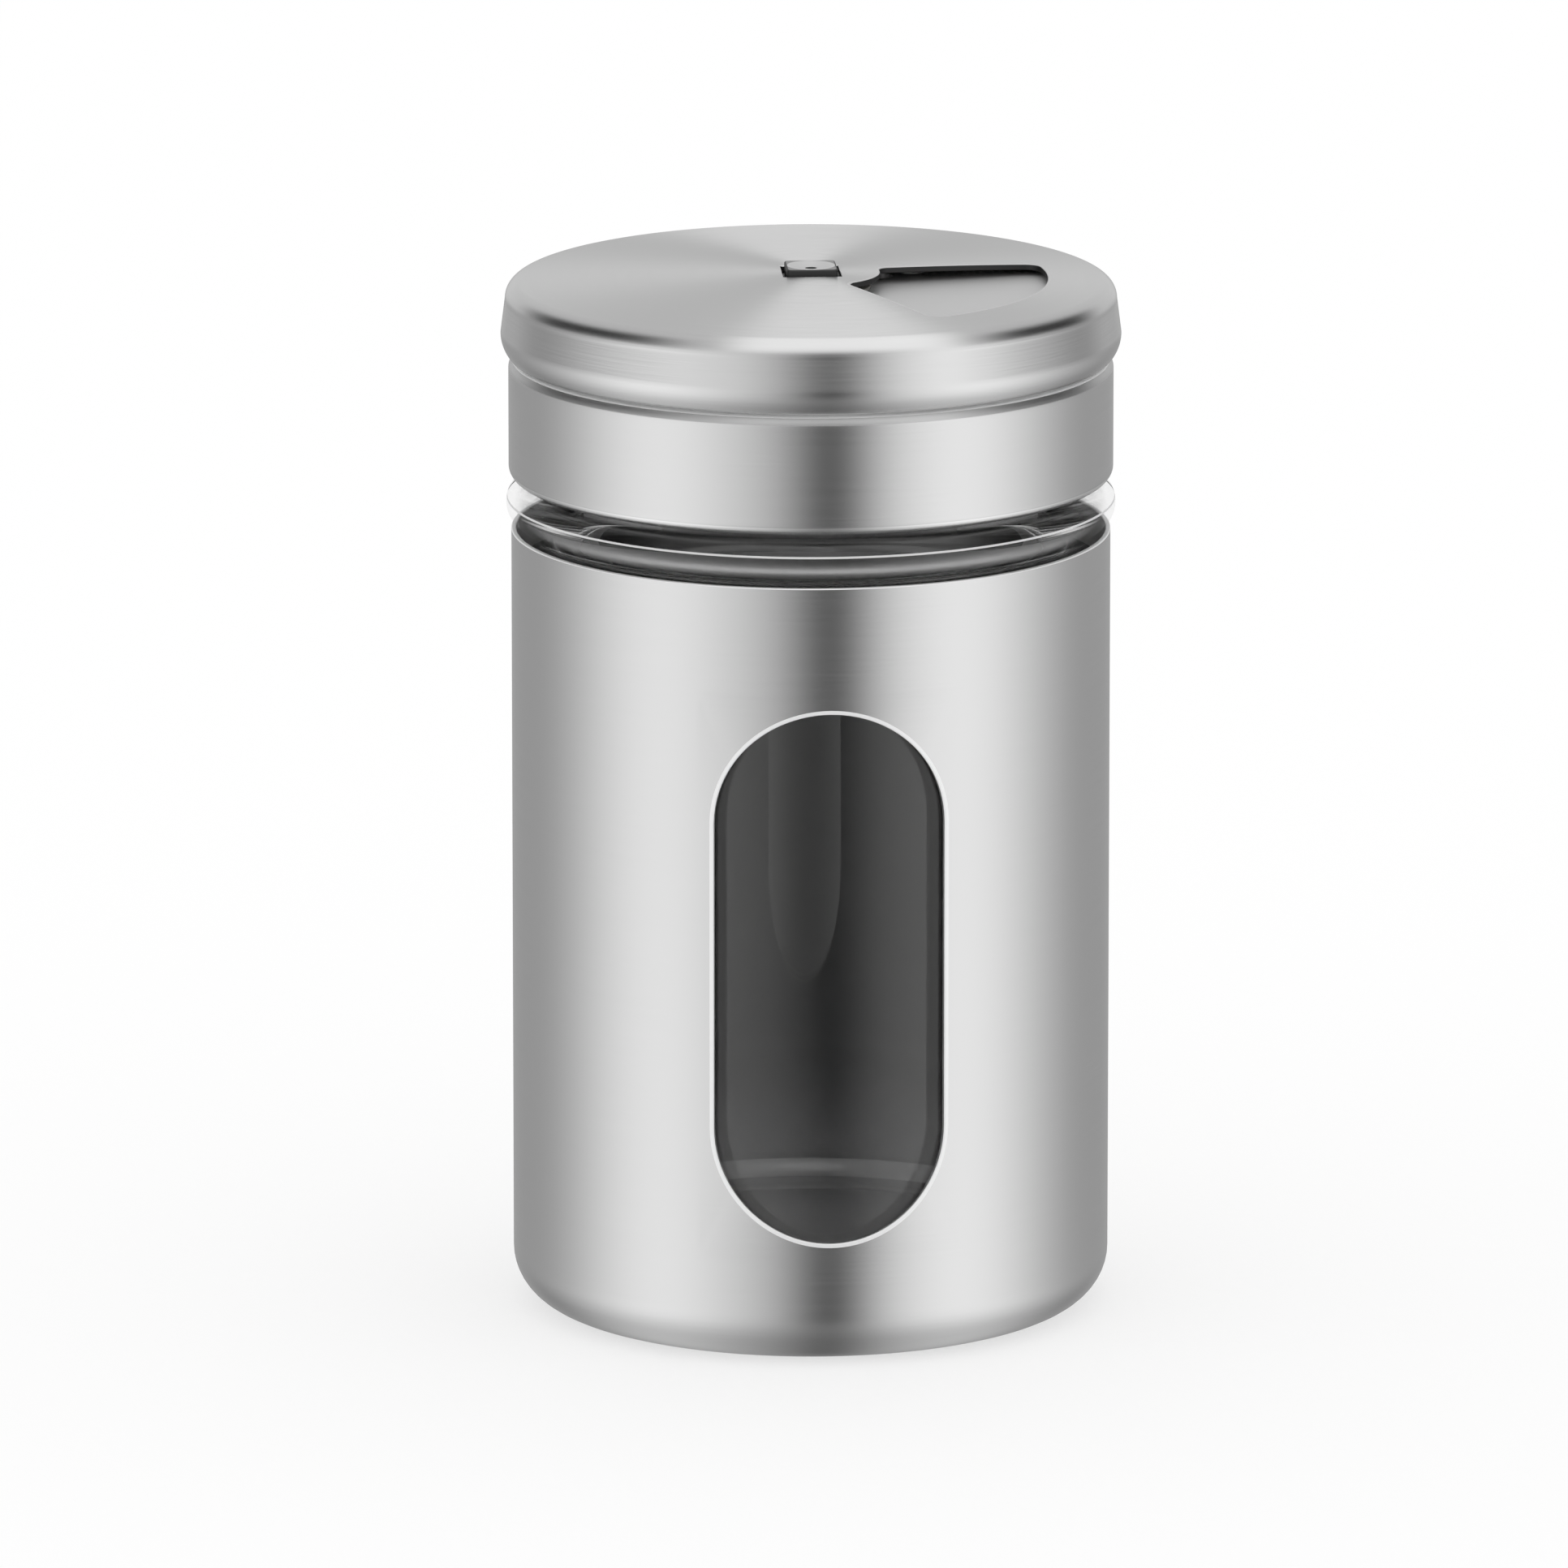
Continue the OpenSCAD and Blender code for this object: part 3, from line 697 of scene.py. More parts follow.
def grain_group():
    """Grain of a moulded or satin surface: fine noise and wide clouds, half of each."""
    clouds_per_metre = 180.0
    tree, given, place = new_group(GRAIN, {
        "Grains per metre": 3000.0, "Shade": 0.04, "Roughness": 0.45, "Roughness change": 0.1})
    fine = put(tree, "ShaderNodeTexNoise", {
        "Vector": place, "Scale": given["Grains per metre"], "Detail": 2.0}).outputs[0]
    wide = put(tree, "ShaderNodeTexNoise", {
        "Vector": place, "Scale": clouds_per_metre, "Detail": 3.0}).outputs[0]
    put_out(tree, given, calc(tree, "MULTIPLY_ADD", fine, 0.5, calc(tree, "MULTIPLY", wide, 0.5)))
    return tree


def marks_of(tree, name, values):
    """Shade, roughness and height from the group of that name, built when it is first asked for."""
    group = bpy.data.node_groups.get(name) or {BRUSHING: brushing_group, GRAIN: grain_group}[name]()
    return put(tree, "ShaderNodeGroup", values, node_tree=group).outputs


def colour_times(tree, base, shade):
    """Base colour times shade."""
    return put(tree, "ShaderNodeVectorMath", {0: base, "Scale": shade}, operation="SCALE").outputs[0]


def bumped(tree, height, depth):
    """The normal of a surface with this height of 0 to 1 times depth."""
    return put(tree, "ShaderNodeBump", {"Height": height, "Distance": depth, "Strength": 1.0}).outputs[0]


def new_material(name):
    """An empty material and its tree."""
    material = bpy.data.materials.new(name)
    material.use_nodes = True
    material.node_tree.nodes.clear()
    return material, material.node_tree


def with_surface(material, values):
    """The material, with a Principled BSDF of these values on its output."""
    shader = put(material.node_tree, "ShaderNodeBsdfPrincipled", values)
    put(material.node_tree, "ShaderNodeOutputMaterial", {"Surface": shader.outputs[0]})
    return material


def brushed_steel(name, base, roughness, brushing, lines=5000.0, shade=0.05):
    """Steel brushed round the shaker's axis.

    The brushing's way is the axis crossed with the place on the piece, with a little of the axis added,
    so that it is never nothing.
    """
    depth, tilt = 0.004 * MM, 0.2 * MM
    material, tree = new_material(name)
    marks = marks_of(tree, BRUSHING, {"Lines per metre": lines, "Shade": shade, "Roughness": roughness})
    round_axis = vector_calc(tree, "CROSS_PRODUCT", (0.0, 0.0, 1.0), place_in(tree))
    tilted = vector_calc(tree, "ADD", round_axis, (0.0, 0.0, tilt))
    way = put(tree, "ShaderNodeVectorTransform", {0: tilted}, vector_type="VECTOR",
              convert_from="OBJECT", convert_to="WORLD").outputs[0]
    return with_surface(material, {
        "Base Color": colour_times(tree, base, marks["Shade"]), "Metallic": 1.0,
        "Roughness": marks["Roughness"], "Normal": bumped(tree, marks["Height"], depth),
        "Anisotropic": brushing, "Anisotropic Rotation": 0.25, "Tangent": way})


def satin_steel(name, base, metallic, roughness, painted_foot_light=0.0):
    """Steel with no brushing: a satin plate, the dull inside of a sheet, pale steel with painted light
    and near-black steel with painted shade.

    From plain_from down to light_to above the base its shade climbs smoothly to 1 + painted_foot_light
    times what it is above: painted light, lighter towards the foot.
    """
    plain_from, light_to = 14.0 * MM, 5.0 * MM
    material, tree = new_material(name)
    marks = marks_of(tree, GRAIN, {"Grains per metre": 4000.0, "Roughness": roughness})
    shade = marks["Shade"]
    if painted_foot_light:
        height = put(tree, "ShaderNodeSeparateXYZ", {0: place_in(tree)}).outputs["Z"]
        near_foot = smooth(tree, height, plain_from, light_to)
        lighter = calc(tree, "ADD", 1.0, calc(tree, "MULTIPLY", near_foot, painted_foot_light))
        shade = calc(tree, "MULTIPLY", shade, lighter)
    return with_surface(material, {
        "Base Color": colour_times(tree, base, shade), "Metallic": metallic,
        "Roughness": marks["Roughness"]})


def clear_glass(name):
    """Clear glass, which lets the background through at its outline, where it is seen at a low angle."""
    white, waves_per_metre, depth = 0.985, 90.0, 0.02 * MM
    outline_from, outline_to, let_through = 0.45, 0.75, 0.9
    material, tree = new_material(name)
    wave = put(tree, "ShaderNodeTexNoise", {
        "Vector": place_in(tree), "Scale": waves_per_metre, "Detail": 1.0}).outputs[0]
    facing = put(tree, "ShaderNodeLayerWeight", {"Blend": 0.5}).outputs["Facing"]
    outline = smooth(tree, facing, outline_from, outline_to)
    return with_surface(material, {
        "Base Color": (white, white, white, 1.0), "Roughness": 0.0, "IOR": 1.5, "Transmission Weight": 1.0,
        "Normal": bumped(tree, wave, depth),
        "Alpha": calc(tree, "MULTIPLY_ADD", outline, -let_through, 1.0)})


def frosted_glass(name, white, clearness, roughness, metallic=0.0):
    """Glass that isn't clear: painted highlights on bead and corner, floor, underside or bore."""
    material, tree = new_material(name)
    marks = marks_of(tree, GRAIN, {"Grains per metre": 2500.0, "Roughness": roughness})
    return with_surface(material, {
        "Base Color": colour_times(tree, (white, white, white), marks["Shade"]),
        "Roughness": marks["Roughness"], "IOR": 1.5, "Metallic": metallic,
        "Transmission Weight": clearness})


def moulded(name, base, roughness, grains=3000.0):
    """Moulded plastic or rubber with a fine grain."""
    depth = 0.01 * MM
    material, tree = new_material(name)
    marks = marks_of(tree, GRAIN, {"Grains per metre": grains, "Roughness": roughness})
    return with_surface(material, {
        "Base Color": colour_times(tree, base, marks["Shade"]), "Roughness": marks["Roughness"],
        "Normal": bumped(tree, marks["Height"], depth)})


def finishes(given):
    """Every finish by its name: the function that builds it and what that is given."""
    sheet = dict(roughness=given.roughness, brushing=given.brushing)
    return {
        "sleeve steel": (brushed_steel, dict(sheet, base=given.sleeve_steel)),
        "ring steel": (brushed_steel, dict(sheet, base=given.lid_steel)),
        "shoulder steel": (brushed_steel, dict(sheet, base=given.small_steel, roughness=0.40)),
        "polished fold": (brushed_steel, dict(sheet, base=given.fold_highlight_steel)),
        "cap side steel": (brushed_steel, dict(sheet, base=given.lid_steel, roughness=0.18)),
        "cap steel": (brushed_steel, dict(base=given.lid_steel, roughness=given.cap_roughness,
                                          brushing=1.0, lines=3500.0, shade=0.10)),
        "stud steel": (brushed_steel, dict(sheet, base=given.small_steel, roughness=0.35)),
        "washer steel": (brushed_steel, dict(sheet, base=given.small_steel, roughness=0.40)),
        "plate steel": (satin_steel, dict(base=given.plate_steel, metallic=0.45, roughness=0.42)),
        # The sleeve's inside is painted lighter towards its foot
        "dull steel": (satin_steel, dict(base=given.dull_steel, metallic=0.9, roughness=0.60,
                                         painted_foot_light=1.3)),
        "rubbed edge": (satin_steel, dict(base=given.pale_edge_painted_light, metallic=0.35, roughness=0.45)),
        "smoothed edge": (satin_steel, dict(base=given.plate_steel, metallic=0.35, roughness=0.45)),
        "shaded steel": (satin_steel, dict(base=given.painted_shade_steel, metallic=0.8, roughness=0.5)),
        "clear glass": (clear_glass, {}),
        "glass seam": (frosted_glass, dict(white=0.95, clearness=0.35, roughness=0.30)),
        "glass corner": (frosted_glass, dict(white=0.98, clearness=0.05, roughness=0.35, metallic=0.15)),
        "frosted underside": (frosted_glass, dict(white=0.90, clearness=0.25, roughness=0.50)),
        "cloudy floor": (frosted_glass, dict(white=0.90, clearness=0.40, roughness=0.35)),
        "ground bore": (frosted_glass, dict(white=0.80, clearness=1.0, roughness=0.45)),
        "insert plastic": (moulded, dict(base=given.plastic, roughness=0.45)),
        "gasket silicone": (moulded, dict(base=given.silicone, roughness=0.6, grains=5000.0)),
        "washer nylon": (moulded, dict(base=given.nylon, roughness=0.5)),
    }


def material_for(name):
    """The finish of that name, built when it is first asked for."""
    if name in bpy.data.materials:
        return bpy.data.materials[name]
    build, settings = finishes(bpy.context.scene.shaker_finish)[name]
    return build(name, **settings)


# Pieces


class SHAKER_OT_sleeve(Operator):
    """Build the brushed steel sleeve with its window"""
    bl_idname = "shaker.sleeve"
    bl_label = "Sleeve"

    def execute(self, context):
        size = context.scene.shaker_sleeve
        radius, height = reach("steel_sleeve"), top("steel_sleeve")
        corner = radius - size.corner
        path = filled(joined([corner - size.foot_width, 0.0],
                             arc(corner, size.corner, size.corner, -90, 0, 12),
                             [radius, height]), SHEET_STEP)
        s = along(path)
        half = size.window_width / 2
        low, high = size.window_sill + half, size.window_sill + size.window_height - half
        t, side = np.linspace(0, math.pi, 200), np.linspace(low, high, 300)
        across, bow, straight = half * np.cos(t), half * np.sin(t), np.full(len(side), half)
        x = np.concatenate((across, across, straight, -straight))
        z = np.concatenate((high + bow, low - bow, side, side))
        outline = np.column_stack((s[-1] - (height - z), 1.5 * math.pi + np.arcsin(x / radius)))
        room = 1.0 * MM
        points, faces, zones = sheet_with_cuts(path, s, SHEET_COLUMNS,
                                               [(outline, room, size.edge + size.painted_light_rim, 1)])
        # Numbers 0, 1 and 4 are the plain sheet, the window's rim and the band inside the upper edge. The
        # rim and the rounded edges are painted near-white as a highlight, and the band is painted light on
        # its inside
        piece = add_piece("brushed_sleeve", "steel_sleeve", "jar", points, faces,
                          ("sleeve steel", "rubbed edge", "dull steel", "dull steel",
                           "sleeve steel", "rubbed edge", "rubbed edge"), zones)
        # Inside the upper edge the sleeve is painted light
        paint(piece, 4, lambda r, z: z > height - size.painted_light_inside)
        thicken(piece, size.wall, size.edge, inside=2, cut=1)
        return {"FINISHED"}


class SHAKER_OT_jar(Operator):
    """Build the clear glass jar with its bead and threaded neck"""
    bl_idname = "shaker.jar"
    bl_label = "Jar"

    def execute(self, context):
        jar, sleeve, ring = context.scene.shaker_jar, context.scene.shaker_sleeve, context.scene.shaker_ring
        sleeve_r, sleeve_h = reach("steel_sleeve"), top("steel_sleeve")
        base, mouth = foot("glass_jar"), top("glass_jar")
        out_r = sleeve_r - sleeve.wall - jar.gap
        in_r = out_r - jar.wall
        bore = jar.neck - jar.neck_wall
        punt_r = sleeve_r - sleeve.corner - sleeve.foot_width / 2
        bead_r = jar.bead / 2
        bead_x, bead_z = reach("glass_jar") - bead_r, sleeve_h + jar.bead_rest + bead_r
        bead_start, bead_end = -math.degrees(math.acos((out_r - bead_x) / bead_r)), 110
        t = np.linspace(0, 1, 13)
        under = np.column_stack((punt_r * t, base + jar.punt * (1 - t * t)))
        floor_z = base + jar.punt + jar.floor
        edge_z = floor_z - jar.punt / 2
        floor_r = in_r - jar.floor_corner
        floor = np.column_stack((floor_r * t, edge_z + jar.punt / 2 * (1 - t * t)))[::-1]
        cavity_top = sleeve_h - jar.gap
        bend = in_r - bore - jar.throat
        outside = filled(joined(under, arc(out_r - jar.heel, base + jar.heel, jar.heel, -90, 0, 12),
                                arc(bead_x, bead_z, bead_r, bead_start, bead_end, 32)), SOLID_STEP)
        neck_x, neck_z = jar.neck + jar.neck_foot, bead_z + bead_r + jar.neck_foot
        neck = filled(joined(outside[-1], arc(neck_x, neck_z, jar.neck_foot, -90, -180, 8),
                             [jar.neck, mouth - jar.mouth]), THREAD_STEP)[1:]
        inside = filled(joined(arc(jar.neck - jar.mouth, mouth - jar.mouth, jar.mouth, 0, 90, 8),
                               arc(bore + jar.mouth, mouth - jar.mouth, jar.mouth, 90, 180, 8),
                               arc(bore + jar.throat, cavity_top + jar.throat, jar.throat, 180, 270, 8),
                               arc(bore + jar.throat, cavity_top - bend, bend, 90, 0, 12),
                               arc(floor_r, edge_z + jar.floor_corner, jar.floor_corner, 0, -90, 16),
                               floor), SOLID_STEP)
        path = joined(outside, neck, inside)
        radius = threaded(path, jar.neck, jar.thread, jar.thread_start, jar.thread_half, ring)
        points, faces = solid_of_revolution(radius, path[:, 1], THREAD_COLUMNS)
        piece = add_piece("clear_jar", "glass_jar", "jar", points, faces,
                          ("clear glass", "glass seam", "glass corner", "frosted underside",
                           "ground bore", "cloudy floor"))
        # Heights of the band in the inner corner that is painted near-white as a highlight
        bright_from, bright_to = floor_z + 0.35 * MM, edge_z + 0.9 * jar.floor_corner
        # A band just above the bead's middle is painted white as a highlight
        paint(piece, 1, lambda r, z: (r > bead_x) & (abs(z - bead_z - jar.highlight_rise) < jar.seam / 2))
        paint(piece, 2, lambda r, z: (r > floor_r) & (r < in_r + NEAR)
              & (z > bright_from) & (z < bright_to))
        paint(piece, 3, lambda r, z: (r < punt_r) & (z < base + jar.punt + NEAR))
        paint(piece, 5, lambda r, z: (r < floor_r) & (z > edge_z - NEAR) & (z < floor_z + NEAR))
        paint(piece, 4, lambda r, z: (r < bore + NEAR) & (z > cavity_top))
        return {"FINISHED"}


class SHAKER_OT_ring(Operator):
    """Build the screw ring with the sifter top's holes"""
    bl_idname = "shaker.ring"
    bl_label = "Screw Ring"

    def execute(self, context):
        size, cap = context.scene.shaker_ring, context.scene.shaker_cap
        radius, low, high = reach("sifter_ring"), foot("sifter_ring"), top("sifter_ring")
        shoulder_x, shoulder_z = radius - size.shoulder, low + size.skirt - size.shoulder
        end = math.degrees(math.acos((size.upper - shoulder_x) / size.shoulder))
        plate_r, fold_r = size.upper - size.sifter_corner, radius - size.edge_corner
        path = filled(joined([radius - size.turn_in, low],
                             arc(fold_r, low + size.edge_corner, size.edge_corner, -90, 0, 12),
                             arc(shoulder_x, shoulder_z, size.shoulder, 0, end, 12),
                             arc(plate_r, high - size.sifter_corner, size.sifter_corner, 0, 90, 10),
                             [0.0, high]), SHEET_STEP)
        s = along(path)
        middle = s[-1]
        # The holes' field has rows one step apart, up to a border outside it
        border, step, least = 1.0 * MM, 0.25 * MM, 0.2 * MM
        plate, plate_end = middle - size.pour_outer - border, middle - size.pour_inner + border
        inner_edge, edge_room = middle - size.stud_hole, 0.3 * MM
        rows = np.concatenate((s[s < plate - least], np.arange(plate, plate_end, step)))
        rows = np.concatenate((rows, np.linspace(rows[-1], inner_edge - edge_room, 5)[1:], [inner_edge]))

        def flat(outline):
            """An outline's radius as length along the path."""
            return np.column_stack((middle - outline[:, 0], outline[:, 1]))

        def field(turn):
            """Inner and outer radius, span and middle of the field so many quarter turns from the first."""
            return size.pour_inner, size.pour_outer, size.pour_span, cap.fan_turn + turn * math.pi / 2

        # Room round the pour opening and distance of the first ring from it, and both for the holes
        room, near, hole_room, hole_near = 0.5 * MM, 0.2 * MM, 0.12 * MM, 0.1 * MM
        cuts = [(flat(fan_outline(*field(2), cap.fan_corner)), room, near, 0)]
        for hole, counts, turn in ((size.fine / 2, (3, 4, 5, 6), 1), (size.coarse / 2, (2, 3), 3)):
            for place, bearing in hole_places(*field(turn), hole, counts):
                cuts.append((flat(round_outline(place, bearing, hole)), hole_room, hole_near, 0))
        points, faces, zones = sheet_with_cuts(path, rows, SHEET_COLUMNS, cuts)
        piece = add_piece("screw_ring_and_sifter", "sifter_ring", "lid", points, faces,
                          ("ring steel", "rubbed edge", "plate steel", "shoulder steel",
                           "polished fold"), zones)
        # The ring's lower fold is painted white as a highlight
        fold_highlight_to, shoulder_from = low + 0.78 * size.edge_corner, shoulder_z + 0.1 * size.shoulder
        paint(piece, 4, lambda r, z: (z < fold_highlight_to) & (r > fold_r))
        paint(piece, 3, lambda r, z: (z > shoulder_from) & (r > size.upper + HAIR))
        # Under the cap's edge the shoulder is painted light
        paint(piece, 1, lambda r, z: (z > shoulder_from) & (z < high - size.sifter_corner)
              & (r < size.upper + size.painted_light_band))
        paint(piece, 2, lambda r, z: (r < plate_r) & (z > high - HAIR))
        # The ring's rounded edges take the near-white finish: a painted highlight
        thicken(piece, size.wall, size.edge)
        return {"FINISHED"}


class SHAKER_OT_insert(Operator):
    """Build the moulded insert with its thread, and the gasket"""
    bl_idname = "shaker.insert"
    bl_label = "Insert and Gasket"

    def execute(self, context):
        size, jar = context.scene.shaker_ring, context.scene.shaker_jar
        outer, low, high = reach("thread_insert"), foot("thread_insert"), top("thread_insert")
        upper = size.upper - size.wall - size.insert_fit
        ease, foot_ease = size.sifter_corner / 2, size.edge_corner - size.wall
        shoulder_x = reach("sifter_ring") - size.shoulder
        end = math.acos((size.upper - shoulder_x) / size.shoulder)
        step_top = (foot("sifter_ring") + size.skirt - size.shoulder
                    + (size.shoulder - size.wall) * math.sin(end) - size.insert_fit)
        flange_z = high - size.flange_height
        corners = [[size.insert_bore, low], [outer - foot_ease, low], [outer, low + foot_ease],
                   [outer, step_top - outer + upper], [upper, step_top], [upper, high - ease],
                   [upper - ease, high], [size.flange, high], [size.flange, flange_z],
                   [size.insert_bore, flange_z]]
        edge, step = 0.15 * MM, 1.5 * MM
        outline = rounded(corners, edge)
        at_bore = abs(outline[:, 0] - size.insert_bore) < SAME_POINT
        start = int(np.argmax(at_bore & (outline[:, 1] > (low + high) / 2)))
        outline = np.roll(outline, -start, axis=0)
        bore = filled(outline[:2], THREAD_STEP)
        rest = filled(np.vstack((outline[1:], outline[0])), step)[1:-1]
        path = np.vstack((bore, rest))
        below = jar.thread_start - jar.thread_half - size.thread_half - size.thread_play
        radius = threaded(path, size.insert_bore, -size.thread, below, size.thread_half, size)
        points, faces = solid_of_revolution(radius, path[:, 1], THREAD_COLUMNS)
        add_piece("moulded_insert", "thread_insert", "lid", points, faces,
                  ("insert plastic",))
        add_ring("soft_gasket", "mouth_gasket", "gasket", "gasket silicone",
                 hole=size.flange, rounding=0.2 * MM, columns=192)
        return {"FINISHED"}


class SHAKER_OT_cap(Operator):
    """Build the turning cap with its dome, curled edge and fan opening"""
    bl_idname = "shaker.cap"
    bl_label = "Cap"

    def execute(self, context):
        size = context.scene.shaker_cap
        flare, low, high = reach("turning_cap"), foot("turning_cap"), top("turning_cap")
        turn = math.degrees(size.curl_turn)
        curl_x, curl_z = flare - size.curl, low + size.curl * math.sin(size.curl_turn)
        fold_x = flare - size.taper - size.fold
        edge_top, fold_end = high - size.dome, 84
        t = np.linspace(1, 0, 60)
        crown = np.column_stack((fold_x * t, high - size.dome * t * t))
        path = filled(joined(arc(curl_x, curl_z, size.curl, -turn, 0, 14),
                             arc(fold_x, edge_top - size.fold, size.fold, 0, fold_end, 14),
                             crown), DOME_STEP)
        s = along(path)

        def place(radius):
            """Length along the path where the top has this radius."""
            return np.interp(radius, path[::-1, 0], s[::-1])

        border, least = 1.0 * MM, 0.2 * MM
        hub = size.hub - border
        rows = np.repeat(s[path[:, 0] > hub + least][:, None], SHEET_COLUMNS, axis=1)
        a = np.arange(SHEET_COLUMNS) * TURN / SHEET_COLUMNS
        half = size.tenon / 2 + size.tenon_gap
        square = half / np.maximum(abs(np.cos(a)), abs(np.sin(a)))
        inner = [place(hub + (square - hub) * k) for k in (0.0, 0.3, 0.6, 0.85, 1.0)]
        rows = np.vstack((rows, inner))
        fan = fan_outline(size.hub, size.fan_reach, size.fan_span, size.fan_turn, size.fan_corner)
        fan = np.column_stack((place(fan[:, 0]), fan[:, 1]))
        room, near = 0.5 * MM, 0.2 * MM
        # The faces along the fan opening take a paler satin: a painted highlight
        points, faces, zones = sheet_with_cuts(path, rows, SHEET_COLUMNS, [(fan, room, near, 3)])
        # In threes, for a face, for the wall of a cut and for the inside: top, fan's rim, lip and side. The
        # cut walls and the inside are painted shade, except along the lip, whose cut wall is painted light
        piece = add_piece("turning_cap_sheet", "turning_cap", "cap", points, faces,
                          ("cap steel", "shaded steel", "shaded steel",
                           "smoothed edge", "shaded steel", "shaded steel",
                           "cap side steel", "rubbed edge", "washer steel",
                           "cap side steel", "shaded steel", "shaded steel"), zones)
        paint(piece, 9, lambda r, z: z < edge_top - size.fold)
        # Along the lower edge the cut wall is painted light, and the inside is plain steel
        paint(piece, 6, lambda r, z: z < low + size.lip)
        thicken(piece, size.wall, size.edge, inside=2, cut=1, painted_light_rim=False)
        return {"FINISHED"}


class SHAKER_OT_stud(Operator):
    """Build the stud with its dished square end, collar, shank and clinched end"""
    bl_idname = "shaker.stud"
    bl_label = "Stud"

    def execute(self, context):
        size = context.scene.shaker_cap
        low, high = foot("centre_stud"), top("centre_stud")
        columns = 160
        a = np.arange(columns) * TURN / columns
        half, edge, power = size.tenon / 2, size.tenon_edge, 14

        def square(inset):
            """Square moved in by inset: a width over (|cos a| ^ power + |sin a| ^ power) ^ (1 / power)."""
            return (half - inset) / (abs(np.cos(a)) ** power + abs(np.sin(a)) ** power) ** (1 / power)

        # Play above and below the collar, the gap between two rows at a corner, and the collar's easing
        play, close, ease = 0.05 * MM, 0.1 * MM, 0.06 * MM
        # How far rows lie under and inside the square end's edge, and outside the dish and the punch mark
        under_edge, inside_edge, outside_dish, outside_dot = 0.12 * MM, 0.02 * MM, 0.03 * MM, 0.05 * MM
        # Share of the punch mark's radius, and of its depth there
        punched = ((1.0, 0.04), (0.9, 0.5), (0.7, 0.9), (0.35, 1.0), (0.0, 1.0))
        corner_points, clinch_step = 5, 1.0 * MM
        collar_top = top("turning_cap") - size.wall - play
        collar_low = top("nylon_washer") + play
        clinch_top, clinch_r = low + size.clinch, reach("back_washer") - clinch_step
        rim = rounded([[0, low], [clinch_r, low], [clinch_r, clinch_top], [0, clinch_top]], 0.2 * MM)
        rim = rim[corner_points:3 * corner_points]
        dish_floor = high - size.dish_depth
        sphere = (size.dish ** 2 + size.dish_depth ** 2) / (2 * size.dish_depth)
        rows = [(0.0, low), *rim, (size.shank, clinch_top), (size.shank, clinch_top + close),
                (size.shank, collar_low - close), (size.shank, collar_low),
                (size.collar - close, collar_low), (size.collar, collar_low + ease),
                (size.collar, collar_top - ease), (size.collar - ease, collar_top)]
        rows += [(square(0.0), z) for z in (collar_top, collar_top + close, high - edge - under_edge)]
        rows += [(square(edge * (1 - math.cos(t))), high - edge * (1 - math.sin(t)))
                 for t in np.linspace(0, math.pi / 2, 6)]
        rows += [(np.minimum(square(edge + inside_edge), half - edge), high),
                 (size.dish + outside_dish, high)]
        rows += [(x, high + sphere - size.dish_depth - math.sqrt(sphere ** 2 - x ** 2))
                 for x in np.linspace(size.dish, size.dot + outside_dot, 9)]
        rows += [(out * size.dot, dish_floor - down * size.dot_depth) for out, down in punched]
        radius = np.array([np.broadcast_to(x, columns) for x, _ in rows])
        points, faces = solid_of_revolution(radius, np.array([z for _, z in rows]), columns)
        piece = add_piece("square_stud", "centre_stud", "cap", points, faces,
                          ("stud steel", "shaded steel", "plate steel", "dull steel"))
        # The square end's walls, its top's corners and the punch mark are painted shade, the dish painted
        # light
        dish_low, dot_low = high - 1.2 * size.dish_depth, dish_floor - 1.1 * size.dot_depth
        paint(piece, 1, lambda r, z: z > collar_top)
        paint(piece, 2, lambda r, z: (z > dish_low) & (r < half - edge))
        paint(piece, 3, lambda r, z: (z > high - HAIR) & (r > half - edge))
        paint(piece, 1, lambda r, z: (z > dot_low) & (r < size.dot))
        return {"FINISHED"}


class SHAKER_OT_washers(Operator):
    """Build the nylon washer, the dished spring washer and the flat back washer"""
    bl_idname = "shaker.washers"
    bl_label = "Washers"

    def execute(self, context):
        hole = context.scene.shaker_ring.stud_hole
        add_ring("nylon_washer_ring", "nylon_washer", "cap", "washer nylon",
                 hole, rounding=0.08 * MM)
        add_ring("flat_back_washer", "back_washer", "cap", "washer steel",
                 hole, rounding=0.08 * MM)
        add_ring("dished_spring_washer", "spring_washer", "cap", "washer steel",
                 hole, rounding=0.06 * MM, dished=True)
        return {"FINISHED"}


# Studio


def lobe(tree, value, centre, width, power=2.0):
    """exp(-(|value - centre| / width) ^ power)."""
    apart = calc(tree, "ABSOLUTE", calc(tree, "DIVIDE", calc(tree, "SUBTRACT", value, centre), width))
    return calc(tree, "EXPONENT", calc(tree, "MULTIPLY", calc(tree, "POWER", apart, power), -1.0))


def straight_through(tree, path):
    """1 for a ray that has come through glass without a reflection on its way, else 0."""
    return calc(tree, "SUBTRACT", path["Is Transmission Ray"], path["Glossy Depth"], clamp=True)


